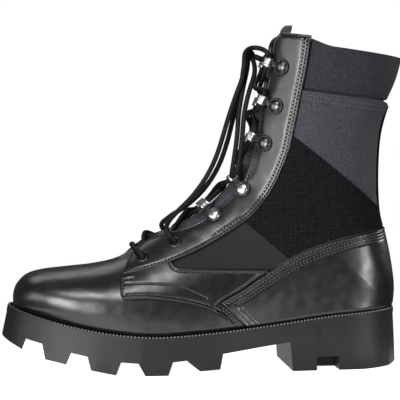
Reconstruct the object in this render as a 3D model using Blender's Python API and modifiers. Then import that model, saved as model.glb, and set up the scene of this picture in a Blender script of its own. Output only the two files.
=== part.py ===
"""Left military boot with a one-piece lugged sole, built as the maker's own pieces.

The toe points along -X, the outer (lateral) side faces -Y and the floor is z = 0.
Sizes and tables are in millimetres, and MM turns them into Blender's metres.
"""

import math
from collections import namedtuple

import bmesh
import bpy
from mathutils import Matrix, Vector

MM = 0.001

# Driving sizes of the last and of the upper
TOE_TIP_X = -147.5
HEEL_END_X = 148.2
BALL_X = -48.0
HEEL_CAP_X = 105.0
BALL_WIDTH = 97.0
HEEL_SEAT_WIDTH = 69.0
TOE_FULLNESS = 2.6
HEEL_FULLNESS = 2.2
WALL = 2.4
SEAT_GAP = 0.3
UPPER_FOOT_GAP = 0.55
LEATHER = 1.5
WEBBING = 1.0
COLLAR_STEP = 1.4
OVERLAY_GAP = 0.72
OVERLAY_FOOT_GAP = 0.8

# Sole sizes
RIM_BAND_HEIGHT = 3.6
RIM_BAND_PROUD = 0.8
RIM_BAND_DEPTH = 9.0
HEEL_NOTCH_HEIGHT = 10.5
INSOLE_THICKNESS = 4.0
INSOLE_EDGE_GAP = 2.2
TREAD_CHANNEL_WIDTH = 10.0
TREAD_CHANNEL_SWING = 6.0
TREAD_CHANNEL_LAND = 0.4
PLAN_FOOT = -2.0
PLAN_TOP = 62.0

# Fastening sizes
TONGUE_THICKNESS = 3.0
TONGUE_HALF_WIDTH = 25.0
TONGUE_LEAN = 3.8
EYELET_HOLE_RADIUS = 3.2
EYELET_RIM_RADIUS = 5.0
EYELET_WALL = 0.7
EYELET_RIM_HEIGHT = 0.9
EYELET_SIDES = 10
LACE_RADIUS = 1.9
LACE_LIFT = -1.2
CORD_POINT_STEP = 11.0
HOOK_BASE_RADIUS = 5.8
HOOK_DOME_RADIUS = 4.5
HOOK_PLATE = 1.2
HOOK_DOME_TOP = 3.6
HOOK_NECK = (9.0, 4.6, 1.0)
HOOK_SLEEVE = (6.4, 7.0, 5.4)
HOOK_SHEET = 1.0
HOOK_REACH = 12.4
HOOK_FACE = 2.4

# Mesh density
OUTLINE_POINTS = 48
LONGEST_ROW_STEP = 19.5
COLUMNS_PER_SIDE = 10
THINNEST_STRIP = 0.03

SIDES = {"lateral": -1, "medial": 1}

# Half width of the last's bottom between the ball and the heel cap
Waist = namedtuple("Waist", "x half_width")
WAIST = [
    Waist(BALL_X, BALL_WIDTH / 2),
    Waist(0.0, 43.6),
    Waist(45.0, 37.0),
    Waist(HEEL_CAP_X, HEEL_SEAT_WIDTH / 2),
]

# Sideways run of the last's middle line: the toe turns in, the waist turns out
Middle = namedtuple("Middle", "x y")
MIDDLE = [
    Middle(TOE_TIP_X, 6.6),
    Middle(-100.0, 2.9),
    Middle(BALL_X, -1.0),
    Middle(0.0, -3.2),
    Middle(50.0, -2.2),
    Middle(HEEL_CAP_X, 0.0),
    Middle(HEEL_END_X, 0.0),
]

# Height of the sole's rim, where the upper meets it: toe spring, ball, waist and heel
Rim = namedtuple("Rim", "x z")
RIM = [
    Rim(-152.0, 49.2),
    Rim(-112.0, 38.0),
    Rim(-82.0, 31.8),
    Rim(-45.0, 28.0),
    Rim(0.0, 30.0),
    Rim(45.0, 34.2),
    Rim(100.0, 41.0),
    Rim(152.0, 45.0),
]

# How far the sole's rim stands outside the last, and how much the wall flares per mm below it
Edge = namedtuple("Edge", "x margin flare")
EDGE = [
    Edge(-150.0, 3.8, 0.22),
    Edge(-110.0, 4.4, 0.11),
    Edge(BALL_X, 5.0, 0.05),
    Edge(40.0, 4.2, 0.04),
    Edge(110.0, 3.0, 0.04),
    Edge(150.0, 2.0, 0.05),
]

# Floor of the tread's grooves
GROOVE_FLOOR = [
    Rim(-160.0, 31.6),
    Rim(-137.6, 26.5),
    Rim(-98.0, 15.9),
    Rim(-60.0, 9.8),
    Rim(-28.0, 10.0),
    Rim(10.0, 15.2),
    Rim(63.5, 22.4),
]

# Lugs of the forefoot in side view: roots on the groove floor, feet near the ground
Lug = namedtuple("Lug", "front_root front_foot back_foot back_root front_z back_z")
LUGS = [
    Lug(-125.6, -123.4, -107.8, -104.0, 12.0, 8.6),
    Lug(-91.5, -89.3, -70.7, -67.0, 4.4, 0.8),
    Lug(-54.0, -48.9, -31.5, -28.0, 0.0, 0.0),
    Lug(-17.7, -7.5, 8.0, 10.3, 2.7, 3.6),
]
TOE_LUG = Lug(-162.0, -162.0, -140.6, -137.6, 29.0, 18.2)
HEEL = Lug(63.0, 64.8, 122.0, 160.0, 0.0, 6.0)
HEEL_BACK_CORNER = (143.0, 1.0)
HEEL_NOTCH = (83.8, 101.3)
HEEL_NOTCH_DEPTH = 20.0

# Sections of the upper. Each is a plane seen edge-on from the side, from its top (on the toe,
# instep or front of the shaft) to its foot (on the sole's rim, or on the back of the heel and shaft).
# turn is the sideways place of the top, widest is where along the plane the half width is reached,
# and round is the fullness of the curve above it.
Section = namedtuple("Section", "name top_x top_z foot_x foot_z half_width widest round turn")
SECTIONS = [
    Section("toe_tip", -147.5, 50.6, -147.5, None, 0.5, 0.60, 2.0, 6.6),
    Section("toe_front", -147.3, 57.2, -143.5, None, 20.6, 0.72, 2.2, 6.6),
    Section("toe_rise", -144.6, 64.4, -134.0, None, 32.0, 0.72, 2.3, 6.4),
    Section("toe_box", -137.0, 71.8, -118.0, None, 41.0, 0.70, 2.35, 5.6),
    Section("toe_top", -124.5, 75.6, -98.0, None, 46.4, 0.68, 2.3, 4.5),
    Section("toe_end", -106.0, 77.9, -74.0, None, 49.0, 0.66, 2.2, 3.0),
    Section("ball", -86.0, 80.2, -48.0, None, 49.6, 0.64, 2.1, 1.8),
    Section("vamp", -68.0, 84.3, -22.0, None, 48.2, 0.62, 2.05, 0.8),
    Section("throat", -55.0, 91.6, 2.0, None, 45.6, 0.62, 2.0, 0.2),
    Section("instep_low", -35.0, 104.0, 38.0, None, 42.0, 0.62, 1.95, 0.0),
    Section("instep", -18.7, 111.6, 65.0, None, 39.6, 0.61, 1.95, 0.0),
    Section("instep_high", -2.7, 120.4, 90.0, None, 38.2, 0.59, 1.95, 0.0),
    Section("strap_low", 9.5, 130.5, 113.0, None, 37.6, 0.56, 1.95, 0.0),
    Section("heel_side", 17.0, 138.0, 132.0, None, 37.8, 0.54, 2.0, 0.0),
    Section("heel_round", 21.5, 144.0, 143.0, None, 38.0, 0.53, 2.0, 0.0),
    Section("heel_foot", 25.5, 150.5, HEEL_END_X, None, 38.2, 0.52, 2.0, 0.0),
    Section("heel_bulge", 31.0, 162.5, 149.1, 62.0, 38.6, 0.51, 2.0, 0.0),
    Section("heel_top", 35.5, 176.0, 146.0, 84.0, 39.2, 0.50, 2.0, 0.0),
    Section("ankle", 38.6, 188.5, 141.6, 104.0, 39.4, 0.50, 2.0, 0.0),
    Section("strap_high", 41.0, 199.5, 137.8, 121.5, 39.3, 0.50, 2.05, 0.0),
    Section("shaft_low", 43.3, 207.5, 136.7, 150.0, 39.0, 0.50, 2.1, 0.0),
    Section("shaft", 45.0, 213.0, 138.6, 180.0, 39.2, 0.50, 2.1, 0.0),
    Section("collar_foot", 46.5, 217.5, 145.2, 204.0, 39.8, 0.50, 2.1, 0.0),
    Section("collar", 49.0, 235.5, 151.9, 222.0, 40.6, 0.50, 2.1, 0.0),
    Section("collar_top", 51.5, 253.5, 157.4, 238.6, 41.4, 0.50, 2.1, 0.0),
    Section("above", 55.5, 271.5, 162.6, 256.0, 41.8, 0.50, 2.1, 0.0),
]
ROW = {section.name: number for number, section in enumerate(SECTIONS)}

# Half width of the throat's gap from the vamp up to the collar
Gap = namedtuple("Gap", "row lateral medial")
THROAT = [
    Gap(ROW["throat"], 6.5, 6.5),
    Gap(ROW["instep_low"], 13.5, 13.5),
    Gap(ROW["strap_low"], 15.5, 17.5),
    Gap(ROW["shaft_low"], 16.0, 20.0),
    Gap(ROW["collar_top"], 16.5, 20.5),
    Gap(ROW["above"], 16.5, 20.5),
]
CENTRE_STRIP = 0.10
COLLAR_RISE = 0.24
COLLAR_RISE_START = 0.62
COLLAR_RISE_END = 0.92
BACKSTAY_TURN = 1.87
EYESTAY_CORNER = 0.16
EYESTAY_RISE = 0.22
EYESTAY_CORNER_ROWS = (0.07, 0.11)
EDGE_JOIN = 0.03

# Edges of the overlays in side view, front to back or bottom to top
Point = namedtuple("Point", "x z")
EYESTAY_EDGE = [
    Point(-90.0, 66.0),
    Point(-65.2, 74.6),
    Point(-36.3, 84.1),
    Point(-13.4, 95.2),
    Point(9.6, 107.9),
    Point(28.9, 123.0),
    Point(43.0, 142.0),
    Point(54.2, 161.0),
    Point(63.4, 183.8),
    Point(71.0, 206.7),
    Point(77.3, 237.1),
    Point(80.2, 262.0),
]
QUARTER_FRONT = [
    Point(-44.0, 97.5),
    Point(-55.1, 91.2),
    Point(-61.2, 86.1),
    Point(-66.0, 78.0),
    Point(-67.8, 67.7),
    Point(-66.6, 58.3),
]
QUARTER_FOOT = [
    Point(-90.0, 57.4),
    Point(-66.6, 58.3),
    Point(-44.7, 58.7),
    Point(-22.0, 55.3),
    Point(-2.8, 49.5),
    Point(10.4, 42.3),
    Point(24.0, 31.0),
]
WINDOW_FOOT = [
    Point(-26.0, 82.6),
    Point(-24.0, 79.3),
    Point(-6.3, 78.5),
    Point(24.3, 78.0),
    Point(60.0, 77.8),
]
COUNTER_EDGE = [
    Point(24.4, 31.9),
    Point(13.4, 43.0),
    Point(5.8, 50.7),
    Point(28.2, 63.9),
    Point(63.8, 85.5),
    Point(86.4, 95.2),
    Point(110.6, 102.3),
    Point(150.0, 109.4),
]

# Speed hooks and eyelets: places on the eyestay in side view, and where each hook's loop sits
Hook = namedtuple("Hook", "x z sleeve_x sleeve_z")
HOOKS = [
    Hook(6.1, 120.1, 0.1, 126.0),
    Hook(27.4, 139.2, 22.6, 147.5),
    Hook(43.6, 173.7, 35.7, 179.1),
    Hook(51.5, 202.1, 41.5, 207.9),
    Hook(56.1, 232.0, 45.7, 236.7),
]
EYELET_PLACES = [Point(-48.7, 86.9), Point(-23.8, 98.2)]

# Where the lace runs turn over the tongue, and how far from its middle
LaceTurn = namedtuple("LaceTurn", "x z reach")
LACE_TURNS = [
    LaceTurn(-48.7, 86.9, 4.5),
    LaceTurn(-23.8, 98.2, 8.5),
    LaceTurn(0.1, 126.0, 9.0),
    LaceTurn(22.6, 147.5, 9.0),
    LaceTurn(35.7, 179.1, 9.0),
    LaceTurn(41.5, 207.9, 9.0),
    LaceTurn(45.7, 236.7, 8.0),
]

# The bow: a knot between the top hooks, where the lace runs end, and the free cords as chosen points
Place = namedtuple("Place", "x y z")
KNOT = Place(36.5, 0.0, 242.5)
KNOT_RADII = (5.0, 6.5, 5.0)
RUN_END = [Place(45.1, 4.3, 239.0), Place(41.2, 2.4, 240.6)]
STRAND_LATERAL = [
    Place(-24.0, -27.3, 99.0),
    Place(-26.6, -29.6, 102.2),
    Place(-30.6, -27.6, 106.6),
    Place(-29.6, -22.0, 112.0),
    Place(-22.0, -17.4, 120.4),
    Place(-10.0, -15.0, 132.0),
    Place(1.6, -15.0, 148.0),
    Place(8.8, -15.0, 162.6),
    Place(12.5, -15.5, 176.0),
    Place(17.3, -16.0, 192.9),
    Place(23.0, -16.0, 210.6),
    Place(27.0, -16.0, 228.0),
    Place(29.0, -14.6, 241.0),
    Place(31.4, -11.0, 248.6),
    Place(34.0, -7.0, 250.2),
    Place(35.1, -4.4, 247.9),
]
STRAND_MEDIAL = [
    Place(-24.0, 26.8, 99.0),
    Place(-26.6, 29.0, 102.2),
    Place(-30.4, 26.0, 107.0),
    Place(-27.0, 15.6, 114.4),
    Place(-16.0, 4.0, 125.6),
    Place(-3.0, -4.6, 141.0),
    Place(7.0, -7.6, 157.0),
    Place(14.5, -8.0, 174.0),
    Place(19.7, -6.6, 191.4),
    Place(24.0, -3.0, 207.0),
    Place(26.6, 1.4, 224.0),
    Place(28.0, 3.8, 236.0),
    Place(31.7, 2.7, 240.1),
]
LOOP = [
    Place(35.9, -5.4, 239.2),
    Place(35.2, -9.6, 236.0),
    Place(34.0, -15.4, 230.6),
    Place(32.0, -20.4, 220.0),
    Place(28.0, -21.0, 199.0),
    Place(24.0, -21.0, 176.0),
    Place(19.5, -21.0, 157.0),
    Place(15.5, -18.5, 148.5),
    Place(15.0, -14.0, 148.0),
    Place(18.5, -12.5, 157.0),
    Place(23.0, -14.0, 176.0),
    Place(27.0, -14.2, 199.0),
    Place(28.8, -9.6, 222.0),
    Place(29.0, -4.0, 235.6),
    Place(31.8, -2.0, 239.3),
]
LACE_END = [
    Place(40.2, -3.8, 245.1),
    Place(43.0, -7.2, 247.2),
    Place(45.0, -12.0, 248.0),
    Place(46.5, -17.5, 246.8),
    Place(47.4, -22.0, 243.6),
]


def hermite(before, start, end, after, share, steps):
    """Smooth value between start and end, with slopes from the neighbours' spacing."""
    first, middle, last = steps
    rise = (end - start) / middle
    slope_start = (rise * first + (start - before) / first * middle) / (first + middle) if first else rise
    slope_end = (rise * last + (after - end) / last * middle) / (last + middle) if last else rise
    square = share * share
    cube = square * share
    return (
        (2 * cube - 3 * square + 1) * start
        + (cube - 2 * square + share) * middle * slope_start
        + (3 * square - 2 * cube) * end
        + (cube - square) * middle * slope_end
    )


def smooth(keys, values, key):
    """Value at key on a smooth curve through (keys, values); straight on past the ends."""
    if key <= keys[0] or key >= keys[-1]:
        low = 0 if key <= keys[0] else len(keys) - 2
        near = low if key <= keys[0] else low + 1
        slope = (values[low + 1] - values[low]) / (keys[low + 1] - keys[low])
        return values[near] + slope * (key - keys[near])
    i = max(n for n in range(len(keys) - 1) if keys[n] <= key)
    before = max(i - 1, 0)
    after = min(i + 2, len(keys) - 1)
    steps = (keys[i] - keys[before], keys[i + 1] - keys[i], keys[after] - keys[i + 1])
    share = (key - keys[i]) / steps[1]
    return hermite(values[before], values[i], values[i + 1], values[after], share, steps)


def along(table, column, key):
    """Smooth reading of one column of a table whose first column is the key."""
    keys = [row[0] for row in table]
    values = [getattr(row, column) for row in table]
    return smooth(keys, values, key)


def rim_z(x):
    return along(RIM, "z", x)


def groove_z(x):
    return along(GROOVE_FLOOR, "z", x)


def middle_y(x):
    return along(MIDDLE, "y", min(max(x, TOE_TIP_X), HEEL_END_X))


def last_half_width(x):
    """Half width of the last's bottom: full round caps at toe and heel, a waist between."""
    if x <= BALL_X:
        reach = min(1.0, (BALL_X - x) / (BALL_X - TOE_TIP_X))
        return BALL_WIDTH / 2 * (1 - reach**TOE_FULLNESS) ** (1 / TOE_FULLNESS)
    if x >= HEEL_CAP_X:
        reach = min(1.0, (x - HEEL_CAP_X) / (HEEL_END_X - HEEL_CAP_X))
        return HEEL_SEAT_WIDTH / 2 * (1 - reach**HEEL_FULLNESS) ** (1 / HEEL_FULLNESS)
    return along(WAIST, "half_width", x)


def last_outline():
    """Closed outline of the last's bottom, from the heel round the outer side to the toe and back."""
    points = []
    for n in range(OUTLINE_POINTS):
        angle = 2 * math.pi * n / OUTLINE_POINTS
        x = TOE_TIP_X + (HEEL_END_X - TOE_TIP_X) * (1 + math.cos(angle)) / 2
        side = -1 if angle < math.pi else 1
        points.append(Vector((x, middle_y(x) + side * last_half_width(x))))
    return points


def outline_normals(points):
    """Outward unit normals of a closed outline that runs clockwise seen from above."""
    normals = []
    for n, point in enumerate(points):
        run = points[(n + 1) % len(points)] - points[n - 1]
        normals.append(Vector((-run.y, run.x)).normalized())
    return normals


def sole_loop(offset_at, height_at):
    """The last's outline moved outwards by offset_at(x), at the heights height_at(x)."""
    points = last_outline()
    loop = []
    for point, normal in zip(points, outline_normals(points)):
        place = point + normal * offset_at(point.x)
        loop.append(Vector((place.x, place.y, height_at(point.x))))
    return loop


def section_value(column, row):
    return smooth(range(len(SECTIONS)), [getattr(section, column) for section in SECTIONS], row)


def foot_of(row):
    """Foot of a section: on the rim up to the heel's end, then on the back of the heel and shaft."""
    corner = ROW["heel_foot"]
    part = SECTIONS[: corner + 1] if row <= corner else SECTIONS[corner:]
    first = 0 if row <= corner else corner
    keys = range(first, first + len(part))
    x = smooth(keys, [section.foot_x for section in part], row)
    if row <= corner:
        return Point(x, rim_z(x) + UPPER_FOOT_GAP)
    start = rim_z(HEEL_END_X) + UPPER_FOOT_GAP
    heights = [start] + [section.foot_z for section in part[1:]]
    return Point(x, smooth(keys, heights, row))


def top_of(row):
    return Point(section_value("top_x", row), section_value("top_z", row))


def surface(row, turn, side):
    """Outer face of the upper. turn runs 0 at the top, 1 at the widest place, 2 at the foot.

    Below the widest place the wall runs into the last's outline, upright at the sole.
    """
    top, foot = top_of(row), foot_of(row)
    widest = section_value("widest", row)
    width = section_value("half_width", row)
    fullness = section_value("round", row)
    if turn <= 1:
        angle = turn * math.pi / 2
        share = widest * (1 - math.cos(angle) ** (2 / fullness))
        half = width * math.sin(angle) ** (2 / fullness)
    else:
        reach = math.sin((turn - 1) * math.pi / 2)
        share = widest + (1 - widest) * reach
        blend = reach * reach * (3 - 2 * reach)
        behind = HEEL_END_X - foot.x if row > ROW["heel_foot"] else 0.0
        outline = last_half_width(top.x + (foot.x - top.x) * share + behind)
        half = width * (1 - blend) + outline * blend
    sideways = section_value("turn", row) * (1 - share) + middle_y(foot.x) * share
    x = top.x + (foot.x - top.x) * share
    z = top.z + (foot.z - top.z) * share
    return Vector((x, sideways + side * half, z))


def skin(row, turn, side, lift=0.0):
    """A point at a distance lift outside the upper's outer face."""
    step = 0.01
    low, high = max(row - step, 0.05), row + step
    left, right = max(turn - step, 0.002), min(turn + step, 1.998)
    along_rows = surface(high, turn, side) - surface(low, turn, side)
    along_turn = surface(row, right, side) - surface(row, left, side)
    normal = along_turn.cross(along_rows) * -side
    if turn >= 2 and row >= ROW["heel_foot"]:
        normal.y = 0.0
    return surface(row, turn, side) + normal.normalized() * lift


def turn_at_share(row, share):
    """Turn at which a section has gone the given share of the way from its top to its foot."""
    widest = section_value("widest", row)
    if share <= widest:
        fullness = section_value("round", row)
        return math.acos(max(0.0, 1 - share / widest) ** (fullness / 2)) * 2 / math.pi
    reach = min(1.0, (share - widest) / (1 - widest))
    return 1 + math.asin(reach) * 2 / math.pi


def turn_at_gap(row, half_gap):
    """Turn at which a section is half_gap wide, near its top."""
    ratio = min(1.0, half_gap / section_value("half_width", row))
    return math.asin(ratio ** (section_value("round", row) / 2)) * 2 / math.pi


def throat_turn(row, side):
    """Turn of the throat's edge on a side, or of the strip's edge down the middle of the vamp."""
    if row < ROW["throat"]:
        return CENTRE_STRIP
    column = "lateral" if side < 0 else "medial"
    return max(CENTRE_STRIP, turn_at_gap(row, along(THROAT, column, row)))


def edge_line(points, pieces=6):
    """A smooth side-view line through the points of an edge."""
    keys = range(len(points))
    count = (len(points) - 1) * pieces
    numbers = [n / pieces for n in range(count + 1)]
    return [
        Point(smooth(keys, [p.x for p in points], n), smooth(keys, [p.z for p in points], n)) for n in numbers
    ]


def crossing_share(row, line):
    """Share along a section where it crosses a side-view line, or None."""
    top, foot = top_of(row), foot_of(row)
    run_x, run_z = foot.x - top.x, foot.z - top.z
    for first, second in zip(line, line[1:]):
        step_x, step_z = second.x - first.x, second.z - first.z
        area = run_x * step_z - run_z * step_x
        if abs(area) < 1e-9:
            continue
        gap_x, gap_z = first.x - top.x, first.z - top.z
        share = (gap_x * step_z - gap_z * step_x) / area
        place = (gap_x * run_z - gap_z * run_x) / area
        if 0 <= place <= 1 and 0 <= share <= 1:
            return share
    return None


def crossing_turn(row, line, otherwise):
    share = crossing_share(row, line)
    return otherwise if share is None else turn_at_share(row, share)


def row_and_turn(place):
    """Row and turn of a side-view place on the instep or shaft."""
    low, high = float(ROW["vamp"]), float(ROW["collar_top"])

    def ahead(row):
        top, foot = top_of(row), foot_of(row)
        return (foot.x - top.x) * (place.z - top.z) - (foot.z - top.z) * (place.x - top.x)

    for _ in range(40):
        middle = (low + high) / 2
        if ahead(middle) > 0:
            low = middle
        else:
            high = middle
    top, foot = top_of(low), foot_of(low)
    share = max(0.0, (place.x - top.x) / (foot.x - top.x))
    return low, turn_at_share(low, share)


def material(name, colour, roughness, metallic=0.0):
    """A Principled BSDF of one colour, made once for each name."""
    made = bpy.data.materials.get(name)
    if made is None:
        made = bpy.data.materials.new(name)
        made.use_nodes = True
        shader = made.node_tree.nodes["Principled BSDF"]
        shader.inputs["Base Color"].default_value = (*colour, 1.0)
        shader.inputs["Roughness"].default_value = roughness
        shader.inputs["Metallic"].default_value = metallic
    return made


def black_leather():
    return material("black_leather", (0.022, 0.022, 0.024), 0.38)


def black_nylon():
    return material("black_nylon", (0.030, 0.031, 0.034), 0.85)


def black_webbing():
    return material("black_webbing", (0.014, 0.014, 0.015), 0.9)


def black_rubber():
    return material("black_rubber", (0.024, 0.024, 0.026), 0.55)


def nickel():
    return material("nickel", (0.75, 0.74, 0.73), 0.18, 1.0)


def black_enamel():
    return material("black_enamel", (0.02, 0.02, 0.02), 0.3, 0.0)


def lace_cord():
    return material("lace_cord", (0.018, 0.018, 0.019), 0.8)


def collection(name):
    made = bpy.data.collections.new(name)
    bpy.context.scene.collection.children.link(made)
    return made


def new_object(name, mesh, finish, group):
    """A named object in its collection, shaded smooth across shallow edges."""
    made = bpy.data.objects.new(name, mesh)
    group.objects.link(made)
    mesh.materials.append(finish)
    mesh.shade_smooth()
    mesh.set_sharp_from_angle(angle=math.radians(38))
    return made


def mesh_from(bm, name):
    mesh = bpy.data.meshes.new(name)
    bm.to_mesh(mesh)
    bm.free()
    return mesh


def grid_mesh(name, rows, columns, place, keep=None):
    """A grid whose corners are moved to place(row, column), in mm, then welded and split in triangles."""
    bm = bmesh.new()
    bmesh.ops.create_grid(bm, x_segments=columns - 1, y_segments=rows - 1, size=1.0)
    bm.verts.ensure_lookup_table()
    spots = {}
    for vert in bm.verts:
        column = round((vert.co.x + 1) / 2 * (columns - 1))
        row = round((vert.co.y + 1) / 2 * (rows - 1))
        spots[vert] = (row, column)
    if keep:
        unwanted = [face for face in bm.faces if not keep([spots[vert] for vert in face.verts])]
        bmesh.ops.delete(bm, geom=unwanted, context="FACES")
    for vert in bm.verts:
        vert.co = Vector(place(*spots[vert])) * MM
    bmesh.ops.remove_doubles(bm, verts=bm.verts, dist=0.02 * MM)
    bmesh.ops.dissolve_degenerate(bm, dist=0.005 * MM, edges=bm.edges)
    bmesh.ops.triangulate(bm, faces=bm.faces, quad_method="SHORT_EDGE")
    return mesh_from(bm, name)


def faces_point_out(mesh, side_of_first=-1):
    """Turns the faces so that the one furthest to the outer side looks outwards."""
    face = min(mesh.polygons, key=lambda f: f.center.y * -side_of_first)
    if face.normal.y * side_of_first < 0:
        mesh.flip_normals()


def solidify(made, thickness, outwards):
    """Gives an open sheet its thickness, to the outside or the inside of it."""
    modifier = made.modifiers.new("thickness", "SOLIDIFY")
    modifier.thickness = thickness * MM
    modifier.offset = 1.0 if outwards else -1.0
    modifier.use_even_offset = False
    return modifier


def applied(made):
    """A copy of the object's evaluated mesh put back in place of its modifiers."""
    graph = bpy.context.evaluated_depsgraph_get()
    mesh = bpy.data.meshes.new_from_object(made.evaluated_get(graph))
    made.modifiers.clear()
    old = made.data
    made.data = mesh
    bpy.data.meshes.remove(old)
    return made


def boolean(made, other, operation, group):
    """Joins, cuts or intersects made with a hidden cutter."""
    other.hide_render = True
    other.display_type = "WIRE"
    modifier = made.modifiers.new(operation.lower(), "BOOLEAN")
    modifier.operation = operation
    modifier.object = other
    modifier.solver = "EXACT"
    if other.name not in group.objects:
        group.objects.link(other)


def loft(name, loops, closed_ring=False):
    """A closed solid through loops of equal count: capped at both ends, or joined last to first."""
    bm = bmesh.new()
    rings = [[bm.verts.new(point * MM) for point in loop] for loop in loops]
    pairs = list(zip(rings, rings[1:]))
    if closed_ring:
        pairs.append((rings[-1], rings[0]))
    for ring, following in pairs:
        for n in range(len(ring)):
            m = (n + 1) % len(ring)
            bm.faces.new((ring[n], ring[m], following[m], following[n]))
    if not closed_ring:
        bm.faces.new(rings[0])
        bm.faces.new(rings[-1])
    bmesh.ops.recalc_face_normals(bm, faces=bm.faces)
    return mesh_from(bm, name)


def prism(name, outline, half_depth):
    """A side-view outline pushed out to both sides along Y."""
    loops = [[Vector((p.x, y, p.z)) for p in outline] for y in (-half_depth, half_depth)]
    return loft(name, loops)


def sole_side_outline():
    """The sole in side view: rim on top, then toe lug, forefoot lugs, waist and heel below."""
    top = [Point(x, rim_z(x)) for x in range(-164, 166, 8)]
    under = [Point(HEEL.back_root, HEEL.back_z), Point(*HEEL_BACK_CORNER), Point(HEEL.back_foot, 0.0)]
    under += [Point(HEEL.front_foot, 0.0), Point(HEEL.front_root, groove_z(HEEL.front_root))]
    under += [Point(x, groove_z(x)) for x in (46.0, 28.0)]
    for lug in reversed(LUGS):
        under.append(Point(lug.back_root, groove_z(lug.back_root)))
        under.append(Point(lug.back_foot, lug.back_z))
        under.append(Point(lug.front_foot, lug.front_z))
        under.append(Point(lug.front_root, groove_z(lug.front_root)))
    under.append(Point(TOE_LUG.back_root, groove_z(TOE_LUG.back_root)))
    under.append(Point(TOE_LUG.back_foot, TOE_LUG.back_z))
    under.append(Point(TOE_LUG.front_foot, TOE_LUG.front_z))
    return top + under


def margin(x):
    return along(EDGE, "margin", x)


def flare(x):
    return along(EDGE, "flare", x)


def tread_channel(group):
    """Zigzag channel down the middle of the forefoot, which parts the lugs into two rows."""
    stations = [lug.front_root for lug in LUGS] + [LUGS[-1].back_root + 2.0]
    stations = [TOE_LUG.back_root - 6.0] + stations
    loops = []
    for number, x in enumerate(stations):
        middle = middle_y(x) + (TREAD_CHANNEL_SWING if number % 2 else -TREAD_CHANNEL_SWING)
        half = TREAD_CHANNEL_WIDTH / 2
        roof = groove_z(x) - TREAD_CHANNEL_LAND
        corners = ((-half, PLAN_FOOT), (half, PLAN_FOOT), (half, roof), (-half, roof))
        loops.append([Vector((x, middle + y, z)) for y, z in corners])
    made = bpy.data.objects.new("tread_channel", loft("tread_channel", loops))
    group.objects.link(made)
    return made


def heel_notches(group):
    """A notch across each side of the heel, leaving its middle whole."""
    size = (HEEL_NOTCH[1] - HEEL_NOTCH[0], HEEL_SEAT_WIDTH, 2 * HEEL_NOTCH_HEIGHT)
    inner = HEEL_SEAT_WIDTH / 2 + margin(HEEL_NOTCH[0]) - HEEL_NOTCH_DEPTH
    middle_x = (HEEL_NOTCH[0] + HEEL_NOTCH[1]) / 2
    return [
        box_part(f"heel_notch_{name}", size, (middle_x, side * (inner + size[1] / 2), 0.0), group)
        for name, side in SIDES.items()
    ]


def outsole(parts, cutters):
    """One-piece rubber sole: its side view crossed with its plan, a rim band round its top, and tread."""
    plan = [
        sole_loop(lambda x: margin(x) + flare(x) * (rim_z(x) - PLAN_FOOT), lambda x: PLAN_FOOT),
        sole_loop(lambda x: margin(x) + flare(x) * (rim_z(x) - PLAN_TOP), lambda x: PLAN_TOP),
    ]
    body = new_object("outsole", loft("outsole", plan), black_rubber(), parts)
    side = bpy.data.objects.new("sole_side", prism("sole_side", sole_side_outline(), BALL_WIDTH))
    boolean(body, side, "INTERSECT", cutters)

    def outer(x):
        return margin(x) + RIM_BAND_PROUD

    def inner(x):
        return margin(x) - RIM_BAND_DEPTH

    def foot(x):
        return rim_z(x) - RIM_BAND_HEIGHT

    corners = ((outer, foot), (outer, rim_z), (inner, rim_z), (inner, foot))
    band_loops = [sole_loop(offset, height) for offset, height in corners]
    band = bpy.data.objects.new("rim_band", loft("rim_band", band_loops, closed_ring=True))
    boolean(body, band, "UNION", cutters)
    boolean(body, tread_channel(cutters), "DIFFERENCE", cutters)
    for notch in heel_notches(cutters):
        boolean(body, notch, "DIFFERENCE", cutters)
    return body


def insole(parts):
    """Insole board resting on the sole inside the upper, as ribs across it from heel to toe."""
    def inset(x):
        return -(WALL + INSOLE_EDGE_GAP)

    def lift(height):
        return lambda x: rim_z(x) + SEAT_GAP + height

    below = sole_loop(inset, lift(0.0))
    above = sole_loop(inset, lift(INSOLE_THICKNESS))
    ribs = [
        [below[n], below[-n], above[-n], above[n]] for n in range(1, OUTLINE_POINTS // 2)
    ]
    return new_object("insole", loft("insole", ribs), black_nylon(), parts)


def section_rows(last):
    """Rows of the upper's grid up to a section: every section, and a row halfway over each long step."""
    rows = [0.0]
    for row in range(1, last + 1):
        top_step = math.dist(top_of(row - 1), top_of(row))
        foot_step = math.dist(foot_of(row - 1), foot_of(row))
        if max(top_step, foot_step) > LONGEST_ROW_STEP:
            rows.append(row - 0.5)
        rows.append(float(row))
    return rows


def upper_rows():
    """All rows of the upper, with a close pair at the collar's step."""
    return sorted(section_rows(ROW["collar_top"]) + [ROW["collar_foot"] + 0.06])


def collar_drop(row):
    """The padded collar sits lower than the folded top edge of the shaft's cloth."""
    return -COLLAR_STEP if row > ROW["collar_foot"] + 0.03 else 0.0


def collar_rise(turn):
    """Extra rows at the collar's front, where its top edge climbs to meet the eyestay."""
    share = min(1.0, max(0.0, (COLLAR_RISE_END - turn) / (COLLAR_RISE_END - COLLAR_RISE_START)))
    return COLLAR_RISE * share * share * (3 - 2 * share)


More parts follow.
